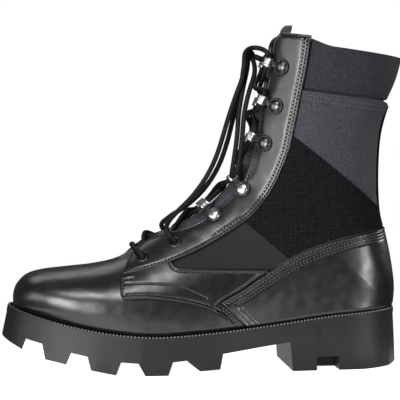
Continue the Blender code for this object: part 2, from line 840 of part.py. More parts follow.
def upper(parts):
    """The hollow upper: one wall from toe to collar, open at the collar, the throat and underneath."""
    rows = upper_rows()
    centre = COLUMNS_PER_SIDE
    throat = rows.index(ROW["throat"])

    def place(number, column):
        row = rows[number]
        side = -1 if column < centre else 1
        away = abs(column - centre)
        if row == 0:
            return (TOE_TIP_X, middle_y(TOE_TIP_X), rim_z(TOE_TIP_X) + UPPER_FOOT_GAP)
        if away == 0:
            return surface(row, 0.0, side)
        turn = wall_turns(row, side)[away - 1]
        if row == ROW["collar_top"]:
            row += collar_rise(turn)
        return skin(row, turn, side, collar_drop(row)) if row > 1 else surface(row, turn, side)

    def keep(spots):
        in_gap = all(abs(column - centre) <= 1 for _, column in spots)
        above = all(number >= throat for number, _ in spots)
        return not (in_gap and above)

    mesh = grid_mesh("upper", len(rows), 2 * COLUMNS_PER_SIDE + 1, place, keep)
    faces_point_out(mesh)
    made = new_object("upper", mesh, black_leather(), parts)
    solidify(made, WALL, outwards=False)
    return made


def wall_turns(row, side):
    """Turns of the upper's columns on a row, from the throat or the middle strip to the foot."""
    start = throat_turn(row, side)
    return [start + (2 - start) * n / (COLUMNS_PER_SIDE - 1) for n in range(COLUMNS_PER_SIDE)]


def held_between(turn, low, high):
    """A column's turn held between two edges, and put on an edge that is very near."""
    turn = min(max(turn, low), high)
    if turn - low < THINNEST_STRIP:
        return low
    if high - turn < THINNEST_STRIP:
        return high
    return turn


def panel(name, rows, low_turn, high_turn, sides, finish, parts, thickness=LEATHER):
    """An overlay cut from the upper's own surface, between the turns low_turn and high_turn of a row.

    It takes the upper's rows and columns, so that the facets lie parallel. With two sides the second
    follows the first round the back, and they weld where they meet.
    """
    columns = COLUMNS_PER_SIDE + 2

    def place(number, column):
        row, side = rows[number], sides[column // columns]
        low, high = low_turn(row, side), high_turn(row, side)
        turns = [low] + [held_between(turn, low, high) for turn in wall_turns(row, side)] + [high]
        order = column if column < columns else 2 * columns - 1 - column
        spot = skin(row, turns[order], side, OVERLAY_GAP)
        spot.z = max(spot.z, rim_z(spot.x) + OVERLAY_FOOT_GAP)
        return spot

    def keep(spots):
        return len({column // columns for _, column in spots}) == 1

    mesh = grid_mesh(name, len(rows), columns * len(sides), place, keep)
    faces_point_out(mesh, sides[0])
    made = new_object(name, mesh, finish, parts)
    solidify(made, thickness, outwards=True)
    return made


def rows_between(low, high):
    """The upper's own rows between two others, so that overlays lie parallel to its facets."""
    inner = [row for row in section_rows(ROW["above"]) if low + 0.12 < row < high - 0.12]
    return [low] + inner + [high]


def eyestays(parts):
    """Leather facing down each side of the throat, from its curved front seam to above the collar."""
    edge = edge_line(EYESTAY_EDGE)
    front = edge_line(QUARTER_FRONT)
    highest = ROW["collar_top"] + EYESTAY_RISE
    rows = rows_between(ROW["vamp"] + 0.32, highest)
    rows += [highest + step for step in EYESTAY_CORNER_ROWS]

    def low(row, side):
        corner = max(0.0, (row - highest + 0.5) / 0.62)
        rounding = EYESTAY_CORNER * (1 - math.sqrt(1 - min(corner, 1.0) ** 2))
        return max(throat_turn(row, side) + rounding, crossing_turn(row, front, 0.0))

    def high(row, side):
        return max(crossing_turn(row, edge, 0.9), low(row, side) + 0.02)

    return [
        panel(f"eyestay_{name}", rows, low, high, [side], black_leather(), parts)
        for name, side in SIDES.items()
    ]


def quarters(parts):
    """Leather below the eyestay: it laps over the vamp and frames the cloth window."""
    edge = edge_line(EYESTAY_EDGE)
    front = edge_line(QUARTER_FRONT)
    foot = edge_line(QUARTER_FOOT)
    window = edge_line(WINDOW_FOOT)
    counter = edge_line(COUNTER_EDGE)
    rows = rows_between(ROW["ball"] + 0.2, ROW["instep_high"] - 0.22)
    rows = sorted(rows + [ROW["ball"] + 0.33, ROW["throat"] + 0.75])

    def low(row, side):
        below_eyestay = crossing_turn(row, edge, 0.0) + EDGE_JOIN
        below_window = crossing_turn(row, window, 0.0) + EDGE_JOIN
        return max(below_eyestay, below_window, crossing_turn(row, front, 0.0))

    def high(row, side):
        above_vamp = crossing_turn(row, foot, 1.97)
        above_counter = crossing_turn(row, counter, 2.0) - EDGE_JOIN
        return max(min(above_vamp, above_counter), low(row, side) + 0.02)

    return [
        panel(f"quarter_{name}", rows, low, high, [side], black_leather(), parts)
        for name, side in SIDES.items()
    ]


def heel_counter(parts):
    """Leather counter round the heel, from both sides of the waist up to the back of the ankle."""
    edge = edge_line(COUNTER_EDGE)
    rows = rows_between(ROW["throat"] + 0.75, ROW["ankle"] + 0.2)

    def low(row, side):
        return min(crossing_turn(row, edge, 1.9), 1.97)

    def high(row, side):
        return 2.0

    return panel("heel_counter", rows, low, high, list(SIDES.values()), black_leather(), parts)


def ankle_straps(parts):
    """Diagonal reinforcing web from the eyestay down to the counter."""
    eyestay = edge_line(EYESTAY_EDGE)
    counter = edge_line(COUNTER_EDGE)
    rows = rows_between(ROW["strap_low"], ROW["strap_high"])

    def low(row, side):
        return crossing_turn(row, eyestay, 0.4) + EDGE_JOIN

    def high(row, side):
        return min(crossing_turn(row, counter, 2.0), BACKSTAY_TURN) - EDGE_JOIN

    return [
        panel(f"ankle_strap_{name}", rows, low, high, [side], black_webbing(), parts, thickness=WEBBING)
        for name, side in SIDES.items()
    ]


def backstay(parts):
    """Narrow web up the middle of the back, from the counter to the collar."""
    rows = rows_between(ROW["ankle"] + 0.3, ROW["collar_foot"] - 0.05)

    def low(row, side):
        return BACKSTAY_TURN

    def high(row, side):
        return 2.0

    return panel("backstay", rows, low, high, list(SIDES.values()), black_webbing(), parts, thickness=WEBBING)


def tongue(parts):
    """Tongue under the throat, from inside the vamp to above the collar, where it leans back."""
    last = ROW["above"] - 0.25
    rows = [ROW["vamp"] + 0.4] + list(range(ROW["throat"], ROW["collar_top"] + 1)) + [last]
    columns = 5

    def place(number, column):
        row = rows[number]
        spread = (column - columns // 2) / (columns // 2)
        side = -1 if spread < 0 else 1
        lean = max(0.0, row - ROW["collar"]) / (last - ROW["collar"])
        under_collar = COLLAR_STEP * min(1.0, max(0.0, row - ROW["shaft_low"]))
        depth = WALL + 4 * SEAT_GAP + under_collar + TONGUE_LEAN * lean**2
        return skin(row, max(0.01, turn_at_gap(row, TONGUE_HALF_WIDTH * abs(spread))), side, -depth)

    mesh = grid_mesh("tongue", len(rows), columns, place)
    face = max(mesh.polygons, key=lambda f: f.center.z - f.center.x)
    if face.normal.z - face.normal.x < 0:
        mesh.flip_normals()
    made = new_object("tongue", mesh, black_nylon(), parts)
    solidify(made, TONGUE_THICKNESS, outwards=False)
    return made


def frame_at(place, side, lift, proud, aim):
    """Axes on the eyestay for a fitting whose face, proud of its seat, is seen at a side-view place.

    X is along the side-view direction aim and Z is outwards. lift is the seat's height over the upper.
    """
    row, turn = row_and_turn(place)
    for _ in range(3):
        lean = skin(row, turn, SIDES["lateral"], lift + proud) - surface(row, turn, SIDES["lateral"])
        row, turn = row_and_turn(Point(place.x - lean.x, place.z - lean.z))
    turn += throat_turn(row, side) - throat_turn(row, SIDES["lateral"])
    origin = skin(row, turn, side, lift)
    out = (skin(row, turn, side, lift + 5.0) - origin).normalized()
    sideways = -(aim.x * out.x + aim.z * out.z) / out.y
    inwards = Vector((aim.x, sideways, aim.z)).normalized()
    across = out.cross(inwards)
    rotation = Matrix((inwards, across, out)).transposed().to_4x4()
    return Matrix.Translation(origin * MM) @ rotation


def turned(name, profile, steps, finish, group, flip=False):
    """A closed turned solid: a profile of (radius, height) rows, turned with a Screw modifier."""
    bm = bmesh.new()
    verts = [bm.verts.new((radius * MM, 0.0, height * MM)) for radius, height in profile]
    for first, second in zip(verts, verts[1:]):
        bm.edges.new((first, second))
    if profile[0][0] > 0:
        bm.edges.new((verts[-1], verts[0]))
    made = new_object(name, mesh_from(bm, name), finish, group)
    screw = made.modifiers.new("turn", "SCREW")
    screw.steps = steps
    screw.render_steps = steps
    screw.use_merge_vertices = True
    screw.merge_threshold = 0.00001
    screw.use_normal_calculate = True
    screw.use_normal_flip = flip
    return made


def box_part(name, size, centre, group):
    """A plain box, in mm, used as a piece of a joined solid."""
    bm = bmesh.new()
    bmesh.ops.create_cube(bm, size=1.0)
    for vert in bm.verts:
        vert.co = Vector([(c + v * s) * MM for c, v, s in zip(centre, vert.co, size)])
    made = bpy.data.objects.new(name, mesh_from(bm, name))
    group.objects.link(made)
    return made


def hook_shape(cutters):
    """Speed hook: a round base with a dome, a neck, and a small sleeve for the lace at its end."""
    base = [(0.0, HOOK_DOME_TOP), (0.65 * HOOK_DOME_RADIUS, 0.8 * HOOK_DOME_TOP)]
    base += [(HOOK_DOME_RADIUS, HOOK_PLATE), (HOOK_BASE_RADIUS, HOOK_PLATE)]
    base += [(HOOK_BASE_RADIUS, 0.0), (0.0, 0.0)]
    hook = applied(turned("hook_shape", base, 9, nickel(), cutters))
    neck_middle = (HOOK_BASE_RADIUS + HOOK_PLATE, 0.0, 0.6 * HOOK_SHEET)
    sleeve_height = 0.5 * HOOK_SLEEVE[2] - 0.6 * HOOK_SHEET
    neck = box_part("hook_neck", HOOK_NECK, neck_middle, cutters)
    sleeve = box_part("hook_sleeve", HOOK_SLEEVE, (HOOK_REACH, 0.0, sleeve_height), cutters)
    bore_size = (HOOK_SLEEVE[0] - 2 * HOOK_SHEET, HOOK_SLEEVE[1] + 2.0, HOOK_SLEEVE[2] - 1.4 * HOOK_SHEET)
    bore = box_part("hook_bore", bore_size, (HOOK_REACH, 0.0, sleeve_height + 0.2 * HOOK_SHEET), cutters)
    boolean(sleeve, bore, "DIFFERENCE", cutters)
    boolean(hook, neck, "UNION", cutters)
    boolean(hook, sleeve, "UNION", cutters)
    hook = applied(hook)
    hook.hide_render = True
    hook.display_type = "WIRE"
    return hook


def speed_hooks(parts, cutters):
    """Five speed hooks up each eyestay, each with its sleeve towards the throat."""
    shape = hook_shape(cutters)
    lift = OVERLAY_GAP + LEATHER + SEAT_GAP
    for name, side in SIDES.items():
        for number, place in enumerate(HOOKS, start=1):
            hook = bpy.data.objects.new(f"speed_hook_{name}_{number}", shape.data)
            parts.objects.link(hook)
            aim = Point(place.sleeve_x - place.x, place.sleeve_z - place.z)
            hook.matrix_world = frame_at(place, side, lift, HOOK_FACE, aim)


def eyelets(parts, cutters):
    """Two rimmed eyelets low on each eyestay, set in holes through the leather and the wall."""
    outer = EYELET_HOLE_RADIUS - SEAT_GAP
    inner = outer - EYELET_WALL
    over = OVERLAY_GAP + LEATHER + SEAT_GAP
    under = -WALL - 0.4
    profile = [(inner, under), (outer, under), (outer, over), (EYELET_RIM_RADIUS, over)]
    crown = over + EYELET_RIM_HEIGHT
    profile += [(EYELET_RIM_RADIUS - 0.8, crown), (inner + 0.3, crown)]
    for name, side in SIDES.items():
        for number, place in enumerate(EYELET_PLACES, start=1):
            seat = frame_at(place, side, 0.0, over, Point(-1.0, 0.0))
            finish = black_enamel()
            eyelet = turned(f"eyelet_{name}_{number}", profile, EYELET_SIDES, finish, parts, flip=True)
            eyelet.matrix_world = seat
            radius = EYELET_HOLE_RADIUS * MM
            bm = bmesh.new()
            bmesh.ops.create_cone(
                bm, cap_ends=True, segments=EYELET_SIDES, radius1=radius, radius2=radius,
                depth=8 * radius, matrix=seat,
            )
            hole = bpy.data.objects.new(f"eyelet_hole_{name}_{number}", mesh_from(bm, "eyelet_hole"))
            cutters.objects.link(hole)
            for target in ("upper", f"eyestay_{name}"):
                boolean(bpy.data.objects[target], hole, "DIFFERENCE", cutters)


def cord_object(name, points, group, roundness=2):
    """A lace tube along points in mm: a POLY spline with a round bevel and filled caps."""
    curve = bpy.data.curves.new(name, "CURVE")
    curve.dimensions = "3D"
    curve.bevel_depth = LACE_RADIUS * MM
    curve.bevel_resolution = roundness
    curve.use_fill_caps = True
    spline = curve.splines.new("POLY")
    spline.points.add(len(points) - 1)
    for spot, point in zip(spline.points, points):
        spot.co = (point[0] * MM, point[1] * MM, point[2] * MM, 1.0)
    made = bpy.data.objects.new(name, curve)
    group.objects.link(made)
    curve.materials.append(lace_cord())
    return made


def mesh_of_curve(made, group):
    """The cord as a welded mesh, so that it can be joined to another."""
    graph = bpy.context.evaluated_depsgraph_get()
    mesh = bpy.data.meshes.new_from_object(made.evaluated_get(graph))
    bm = bmesh.new()
    bm.from_mesh(mesh)
    bmesh.ops.remove_doubles(bm, verts=bm.verts, dist=0.01 * MM)
    bm.to_mesh(mesh)
    bm.free()
    name, matrix = made.name, made.matrix_world.copy()
    bpy.data.objects.remove(made)
    result = bpy.data.objects.new(name, mesh)
    result.matrix_world = matrix
    group.objects.link(result)
    return result


def zigzag(first_side):
    """One of the two lace runs: it crosses the tongue between each pair of turns and rises to the knot."""
    rows = [row_and_turn(turn)[0] for turn in LACE_TURNS]
    points = []
    steps = 3
    for number in range(len(rows) - 1):
        side = first_side if number % 2 == 0 else -first_side
        here, following = LACE_TURNS[number], LACE_TURNS[number + 1]
        for step in range(steps if number < len(rows) - 2 else steps + 1):
            share = step / steps
            row = rows[number] + (rows[number + 1] - rows[number]) * share
            reach = here.reach + (following.reach - here.reach) * share
            across = side * reach * math.cos(math.pi * share)
            turn = max(0.01, turn_at_gap(row, abs(across)))
            points.append(skin(row, turn, -1 if across < 0 else 1, LACE_LIFT))
    end_side = -1 if points[-1].y < 0 else 1
    points += [Vector((place.x, end_side * place.y, place.z)) for place in RUN_END]
    return points


def lace_crossings(parts, cutters):
    """Both lace runs, joined where they cross over the tongue."""
    runs = []
    for name, side in SIDES.items():
        runs.append(mesh_of_curve(cord_object(f"lace_run_{name}", zigzag(side), cutters, 1), cutters))
    first, second = runs
    mesh = first.data.copy()
    made = new_object("lace_crossings", mesh, lace_cord(), parts)
    boolean(made, second, "UNION", cutters)
    first.hide_render = True
    first.display_type = "WIRE"
    return made


def smooth_route(places):
    """Points a few diameters apart along a smooth curve through the chosen places of a cord."""
    keys = range(len(places))
    fine = [n / 12 for n in range((len(places) - 1) * 12 + 1)]
    curve = [Vector([smooth(keys, [place[axis] for place in places], n) for axis in range(3)]) for n in fine]
    runs = [0.0]
    for first, second in zip(curve, curve[1:]):
        runs.append(runs[-1] + (second - first).length)
    count = max(4, round(runs[-1] / CORD_POINT_STEP))
    points = []
    for n in range(count + 1):
        run = runs[-1] * n / count
        i = max(k for k in range(len(runs) - 1) if runs[k] <= run)
        share = (run - runs[i]) / (runs[i + 1] - runs[i])
        points.append(curve[i].lerp(curve[i + 1], share))
    return points


def bow(parts):
    """The knot, the two strands that come up from the second eyelets, the hanging loop and the free end."""
    bm = bmesh.new()
    matrix = Matrix.Translation(Vector(KNOT) * MM) @ Matrix.Diagonal(Vector(KNOT_RADII) * MM).to_4x4()
    bmesh.ops.create_icosphere(bm, subdivisions=2, radius=1.0, matrix=matrix)
    new_object("lace_knot", mesh_from(bm, "lace_knot"), lace_cord(), parts)
    cord_object("lace_strand_lateral", smooth_route(STRAND_LATERAL), parts)
    cord_object("lace_strand_medial", smooth_route(STRAND_MEDIAL), parts)
    cord_object("lace_loop", smooth_route(LOOP), parts)
    cord_object("lace_end", smooth_route(LACE_END), parts)


def main():
    for old in list(bpy.data.objects):
        bpy.data.objects.remove(old)
    parts = collection("military_boot")
    cutters = collection("cutters")
    outsole(parts, cutters)
    insole(parts)
    upper(parts)
    eyestays(parts)
    quarters(parts)
    heel_counter(parts)
    ankle_straps(parts)
    backstay(parts)
    tongue(parts)
    eyelets(parts, cutters)
    speed_hooks(parts, cutters)
    lace_crossings(parts, cutters)
    bow(parts)


main()
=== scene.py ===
# %% [markdown]
# # Dressing a left military boot
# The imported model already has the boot's true shape: a rubber sole, a hollow upper on a last, leather
# overlays, hooks and a lace. This lesson gives each of those pieces the surface that the eye expects.
# Every cell makes one piece or one finish, and prints what it made.

# %% Load the fixed frame
import math
from collections import namedtuple

import bmesh
import bpy
import numpy as np
from mathutils import Matrix, Vector
from mathutils.kdtree import KDTree


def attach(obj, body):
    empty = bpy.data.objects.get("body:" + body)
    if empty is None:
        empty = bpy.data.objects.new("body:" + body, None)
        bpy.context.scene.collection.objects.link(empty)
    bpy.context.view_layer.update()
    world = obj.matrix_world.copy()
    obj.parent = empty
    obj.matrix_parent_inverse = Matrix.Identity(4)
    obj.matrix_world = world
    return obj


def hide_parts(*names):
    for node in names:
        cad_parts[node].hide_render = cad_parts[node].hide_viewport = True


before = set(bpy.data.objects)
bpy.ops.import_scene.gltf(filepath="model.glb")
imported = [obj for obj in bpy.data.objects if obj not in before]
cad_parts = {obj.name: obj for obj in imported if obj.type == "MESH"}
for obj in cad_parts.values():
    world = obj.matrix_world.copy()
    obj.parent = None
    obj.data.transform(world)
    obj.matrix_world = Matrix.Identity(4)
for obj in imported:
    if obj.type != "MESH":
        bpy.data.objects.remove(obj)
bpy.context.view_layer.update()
MM = 0.001
SIDES = {"lateral": -1, "medial": 1}

# %% [markdown]
# ## Camera
# The boot was photographed from its outer side, from a little above the floor and with a long lens, so
# the sole's lines stay almost parallel. A short lens close by would swell the toe. The camera therefore
# stands 1.3 m away, turned six degrees, and looks down by three.

# %% Place the camera
VIEW_TURN = math.radians(-6)
VIEW_TILT = math.radians(3)
VIEW_DISTANCE = 1300
VIEW_TARGET = Vector((-2, 0, 129))
FOCAL_LENGTH = 150
SENSOR_WIDTH = 36
FAR_CLIP_M = 20


def placed(name, data):
    """A new object that holds the data, linked into the scene."""
    made = bpy.data.objects.new(name, data)
    bpy.context.scene.collection.objects.link(made)
    return made


def place_camera():
    lens = bpy.data.cameras.new("photo_camera")
    lens.lens = FOCAL_LENGTH
    lens.sensor_width = SENSOR_WIDTH
    lens.clip_end = FAR_CLIP_M
    camera = placed("photo_camera", lens)
    back = Vector((
        math.sin(VIEW_TURN) * math.cos(VIEW_TILT),
        -math.cos(VIEW_TURN) * math.cos(VIEW_TILT),
        math.sin(VIEW_TILT),
    ))
    camera.location = (VIEW_TARGET + back * VIEW_DISTANCE) * MM
    camera.rotation_euler = back.to_track_quat("Z", "Y").to_euler()
    bpy.context.scene.camera = camera
    return camera


camera = place_camera()
print("camera at", [round(v, 3) for v in camera.location])

# %% [markdown]
# ## The last, as a surface
# A shoemaker pulls the upper over a last. Here the last is a fan of flat sections, each with a top, a
# foot, a width and a fullness, and a smooth curve runs through each column of the table. Any point of
# the boot's skin is then a row (which section), a turn (0 on top, 1 at the widest place, 2 at the foot)
# and a side. All later panels are cut from this one surface, so they fit each other without measuring.

# %% Sizes and sections of the last
TOE_TIP_X = -147.5
HEEL_END_X = 148.2
BALL_X = -48.0
HEEL_CAP_X = 105.0
BALL_WIDTH = 97.0
HEEL_SEAT_WIDTH = 69.0
TOE_FULLNESS = 2.6
HEEL_FULLNESS = 2.2
UPPER_FOOT_GAP = 0.55

Key = namedtuple("Key", "x value")
WAIST = [Key(BALL_X, BALL_WIDTH / 2), Key(0, 43.6), Key(45, 37), Key(HEEL_CAP_X, HEEL_SEAT_WIDTH / 2)]
MIDDLE = [
    Key(TOE_TIP_X, 6.6), Key(-100, 2.9), Key(BALL_X, -1.0), Key(0, -3.2),
    Key(50, -2.2), Key(HEEL_CAP_X, 0.0), Key(HEEL_END_X, 0.0),
]
RIM = [
    Key(-152, 49.2), Key(-112, 38.0), Key(-82, 31.8), Key(-45, 28.0),
    Key(0, 30.0), Key(45, 34.2), Key(100, 41.0), Key(152, 45.0),
]

Section = namedtuple("Section", "name top_x top_z foot_x foot_z half_width widest round turn")
SECTIONS = [
    Section("toe_tip", -147.5, 50.6, -147.5, None, 0.5, 0.60, 2.0, 6.6),
    Section("toe_front", -147.3, 57.2, -143.5, None, 20.6, 0.72, 2.2, 6.6),
    Section("toe_rise", -144.6, 64.4, -134.0, None, 32.0, 0.72, 2.3, 6.4),
    Section("toe_box", -137.0, 71.8, -118.0, None, 41.0, 0.70, 2.35, 5.6),
    Section("toe_top", -124.5, 75.6, -98.0, None, 46.4, 0.68, 2.3, 4.5),
    Section("toe_end", -106.0, 77.9, -74.0, None, 49.0, 0.66, 2.2, 3.0),
    Section("ball", -86.0, 80.2, -48.0, None, 49.6, 0.64, 2.1, 1.8),
    Section("vamp", -68.0, 84.3, -22.0, None, 48.2, 0.62, 2.05, 0.8),
    Section("throat", -55.0, 91.6, 2.0, None, 45.6, 0.62, 2.0, 0.2),
    Section("instep_low", -35.0, 104.0, 38.0, None, 42.0, 0.62, 1.95, 0.0),
    Section("instep", -18.7, 111.6, 65.0, None, 39.6, 0.61, 1.95, 0.0),
    Section("instep_high", -2.7, 120.4, 90.0, None, 38.2, 0.59, 1.95, 0.0),
    Section("strap_low", 9.5, 130.5, 113.0, None, 37.6, 0.56, 1.95, 0.0),
    Section("heel_side", 17.0, 138.0, 132.0, None, 37.8, 0.54, 2.0, 0.0),
    Section("heel_round", 21.5, 144.0, 143.0, None, 38.0, 0.53, 2.0, 0.0),
    Section("heel_foot", 25.5, 150.5, HEEL_END_X, None, 38.2, 0.52, 2.0, 0.0),
    Section("heel_bulge", 31.0, 162.5, 149.1, 62.0, 38.6, 0.51, 2.0, 0.0),
    Section("heel_top", 35.5, 176.0, 146.0, 84.0, 39.2, 0.50, 2.0, 0.0),
    Section("ankle", 38.6, 188.5, 141.6, 104.0, 39.4, 0.50, 2.0, 0.0),
    Section("strap_high", 41.0, 199.5, 137.8, 121.5, 39.3, 0.50, 2.05, 0.0),
    Section("shaft_low", 43.3, 207.5, 136.7, 150.0, 39.0, 0.50, 2.1, 0.0),
    Section("shaft", 45.0, 213.0, 138.6, 180.0, 39.2, 0.50, 2.1, 0.0),
    Section("collar_foot", 46.5, 217.5, 145.2, 204.0, 39.8, 0.50, 2.1, 0.0),
    Section("collar", 49.0, 235.5, 151.9, 222.0, 40.6, 0.50, 2.1, 0.0),
    Section("collar_top", 51.5, 253.5, 157.4, 238.6, 41.4, 0.50, 2.1, 0.0),
    Section("above", 55.5, 271.5, 162.6, 256.0, 41.8, 0.50, 2.1, 0.0),
]
ROW = {section.name: number for number, section in enumerate(SECTIONS)}
HEEL_ROW, HEM_ROW = ROW["heel_foot"], ROW["collar_foot"]
ROW_KEYS = np.arange(len(SECTIONS))

Gap = namedtuple("Gap", "row lateral medial")
THROAT = [
    Gap(ROW["throat"], 6.5, 6.5),
    Gap(ROW["instep_low"], 13.5, 13.5),
    Gap(ROW["strap_low"], 15.5, 17.5),
    Gap(ROW["shaft_low"], 16.0, 20.0),
    Gap(ROW["collar_top"], 16.5, 20.5),
    Gap(ROW["above"], 16.5, 20.5),
]
CENTRE_STRIP = 0.10
print("sections", len(SECTIONS))

# %% [markdown]
# ### Curves through the tables
# Between the entries of a table every measure follows a smooth curve, so no step shows where one section
# of the last ends and the next begins.

# %% Curves and outlines


def smooth(keys, values, at):
    """Values on a smooth curve through (keys, values), straight on past its ends."""
    keys, values, at = (np.asarray(given, float) for given in (keys, values, at))
    steps = np.diff(keys)
    rises = np.diff(values) / steps
    slopes = np.empty_like(values)
    slopes[0], slopes[-1] = rises[0], rises[-1]
    slopes[1:-1] = (rises[1:] * steps[:-1] + rises[:-1] * steps[1:]) / (steps[:-1] + steps[1:])
    i = np.clip(np.searchsorted(keys, at, side="right") - 1, 0, len(steps) - 1)
    t = (at - keys[i]) / steps[i]
    curve = (
        (2 * t**3 - 3 * t**2 + 1) * values[i]
        + (t**3 - 2 * t**2 + t) * steps[i] * slopes[i]
        + (3 * t**2 - 2 * t**3) * values[i + 1]
        + (t**3 - t**2) * steps[i] * slopes[i + 1]
    )
    before = values[0] + rises[0] * (at - keys[0])
    after = values[-1] + rises[-1] * (at - keys[-1])
    return np.where(t < 0, before, np.where(t > 1, after, curve))


def along(table, at):
    return smooth([key.x for key in table], [key.value for key in table], at)


def rim_z(x):
    return along(RIM, x)


def middle_y(x):
    return along(MIDDLE, np.clip(x, TOE_TIP_X, HEEL_END_X))


def last_half_width(x):
    """Half width of the last's bottom: full round caps at toe and heel, a waist between."""
    x = np.asarray(x, float)
    toe = np.clip((BALL_X - x) / (BALL_X - TOE_TIP_X), 0, 1)
    heel = np.clip((x - HEEL_CAP_X) / (HEEL_END_X - HEEL_CAP_X), 0, 1)
    toe_half = BALL_WIDTH / 2 * (1 - toe**TOE_FULLNESS) ** (1 / TOE_FULLNESS)
    heel_half = HEEL_SEAT_WIDTH / 2 * (1 - heel**HEEL_FULLNESS) ** (1 / HEEL_FULLNESS)
    return np.where(x <= BALL_X, toe_half, np.where(x >= HEEL_CAP_X, heel_half, along(WAIST, x)))


def section_value(column, row):
    """One column of the sections' table, at rows between its entries."""
    return smooth(ROW_KEYS, [getattr(section, column) for section in SECTIONS], row)


def top_of(row):
    return section_value("top_x", row), section_value("top_z", row)


def foot_of(row):
    """Foot of a section: on the rim up to the heel's end, then on the back of heel and shaft."""
    row = np.asarray(row, float)
    low, high = SECTIONS[: HEEL_ROW + 1], SECTIONS[HEEL_ROW:]
    x_low = smooth(ROW_KEYS[: HEEL_ROW + 1], [s.foot_x for s in low], row)
    x_high = smooth(ROW_KEYS[HEEL_ROW:], [s.foot_x for s in high], row)
    start = float(rim_z(HEEL_END_X)) + UPPER_FOOT_GAP
    z_high = smooth(ROW_KEYS[HEEL_ROW:], [start] + [s.foot_z for s in high[1:]], row)
    x = np.where(row <= HEEL_ROW, x_low, x_high)
    return x, np.where(row <= HEEL_ROW, rim_z(x_low) + UPPER_FOOT_GAP, z_high)


print("rim under the ball at", round(float(rim_z(BALL_X)), 1), "mm")

# %% [markdown]
# ### Points and normals
# Above its widest place a section is a rounded arch. Below it the section blends into the outline of
# the last's bottom, so the foot of the upper meets the sole all round.

# %% The skin of the last


def surface(row, turn, side):
    """Points of the upper's outer face, in mm."""
    row, turn, side = np.broadcast_arrays(*(np.asarray(v, float) for v in (row, turn, side)))
    top_x, top_z = top_of(row)
    foot_x, foot_z = foot_of(row)
    widest, width, fullness = (section_value(c, row) for c in ("widest", "half_width", "round"))
    angle = np.clip(turn, 0, 1) * math.pi / 2
    upper_share = widest * (1 - np.cos(angle).clip(0) ** (2 / fullness))
    upper_half = width * np.sin(angle).clip(0) ** (2 / fullness)
    reach = np.sin((np.clip(turn, 1, 2) - 1) * math.pi / 2)
    lower_share = widest + (1 - widest) * reach
    blend = reach * reach * (3 - 2 * reach)
    behind = np.where(row > HEEL_ROW, HEEL_END_X - foot_x, 0)
    outline = last_half_width(top_x + (foot_x - top_x) * lower_share + behind)
    share = np.where(turn <= 1, upper_share, lower_share)
    half = np.where(turn <= 1, upper_half, width * (1 - blend) + outline * blend)
    sideways = section_value("turn", row) * (1 - share) + middle_y(foot_x) * share
    x = top_x + (foot_x - top_x) * share
    z = top_z + (foot_z - top_z) * share
    return np.stack([x, sideways + side * half, z], -1)


def outwards(row, turn, side):
    """Unit normals of the outer face."""
    row, turn, side = np.broadcast_arrays(*(np.asarray(v, float) for v in (row, turn, side)))
    step = 0.01
    along_rows = surface(row + step, turn, side) - surface(np.maximum(row - step, 0.05), turn, side)
    ahead, back = np.minimum(turn + step, 1.998), np.maximum(turn - step, 0.002)
    along_turn = surface(row, ahead, side) - surface(row, back, side)
    normal = np.cross(along_turn, along_rows) * -side[..., None]
    on_back = (turn >= 2) & (row >= HEEL_ROW)
    normal[..., 1] = np.where(on_back, 0, normal[..., 1])
    return normal / np.maximum(np.linalg.norm(normal, axis=-1, keepdims=True), 1e-9)


def skin(row, turn, side, lift=0.0):
    """Points at a height lift over the outer face."""
    return surface(row, turn, side) + outwards(row, turn, side) * np.asarray(lift, float)[..., None]


print("side of the ball at", np.round(surface(ROW["ball"], 1.0, -1), 1))

# %% [markdown]
# ### Turns
# A cutter also asks the other way round: at which turn lies an edge that is a given share of the way
# down a section, or a given distance from the middle?

# %% Turns of an edge


def turn_at_share(row, share):
    """Turn of the places that lie at a share of the way from a section's top to its foot."""
    widest = section_value("widest", row)
    above = np.clip(1 - share / widest, 0, 1) ** (section_value("round", row) / 2)
    reach = np.clip((share - widest) / (1 - widest), 0, 1)
    return np.where(share <= widest, np.arccos(above) * 2 / math.pi, 1 + np.arcsin(reach) * 2 / math.pi)


def turn_at_gap(row, half_gap):
    """Turn of the places that stand half_gap mm from the middle, above the widest place."""
    ratio = np.minimum(1, half_gap / section_value("half_width", row))
    return np.arcsin(ratio ** (section_value("round", row) / 2)) * 2 / math.pi


def throat_turn(row, side):
    """Turn of the throat's edge, or of a strip down the middle of the vamp in front of it."""
    row = np.asarray(row, float)
    keys = [gap.row for gap in THROAT]
    gaps = [gap.lateral if side < 0 else gap.medial for gap in THROAT]
    edge = np.maximum(CENTRE_STRIP, turn_at_gap(row, smooth(keys, gaps, row)))
    return np.where(row < ROW["throat"], CENTRE_STRIP, edge)


heel_back = surface(HEEL_ROW, 2.0, -1)
print("back of the heel at", np.round(heel_back, 1))

# %% [markdown]
# ## Seam lines
# A pattern cutter marks seams on the last in side view. Each seam here is a few marks with a smooth
# curve through them, and the curve is then found again on every section, as a turn. So a seam bends
# round the boot as the real one does, on both sides.

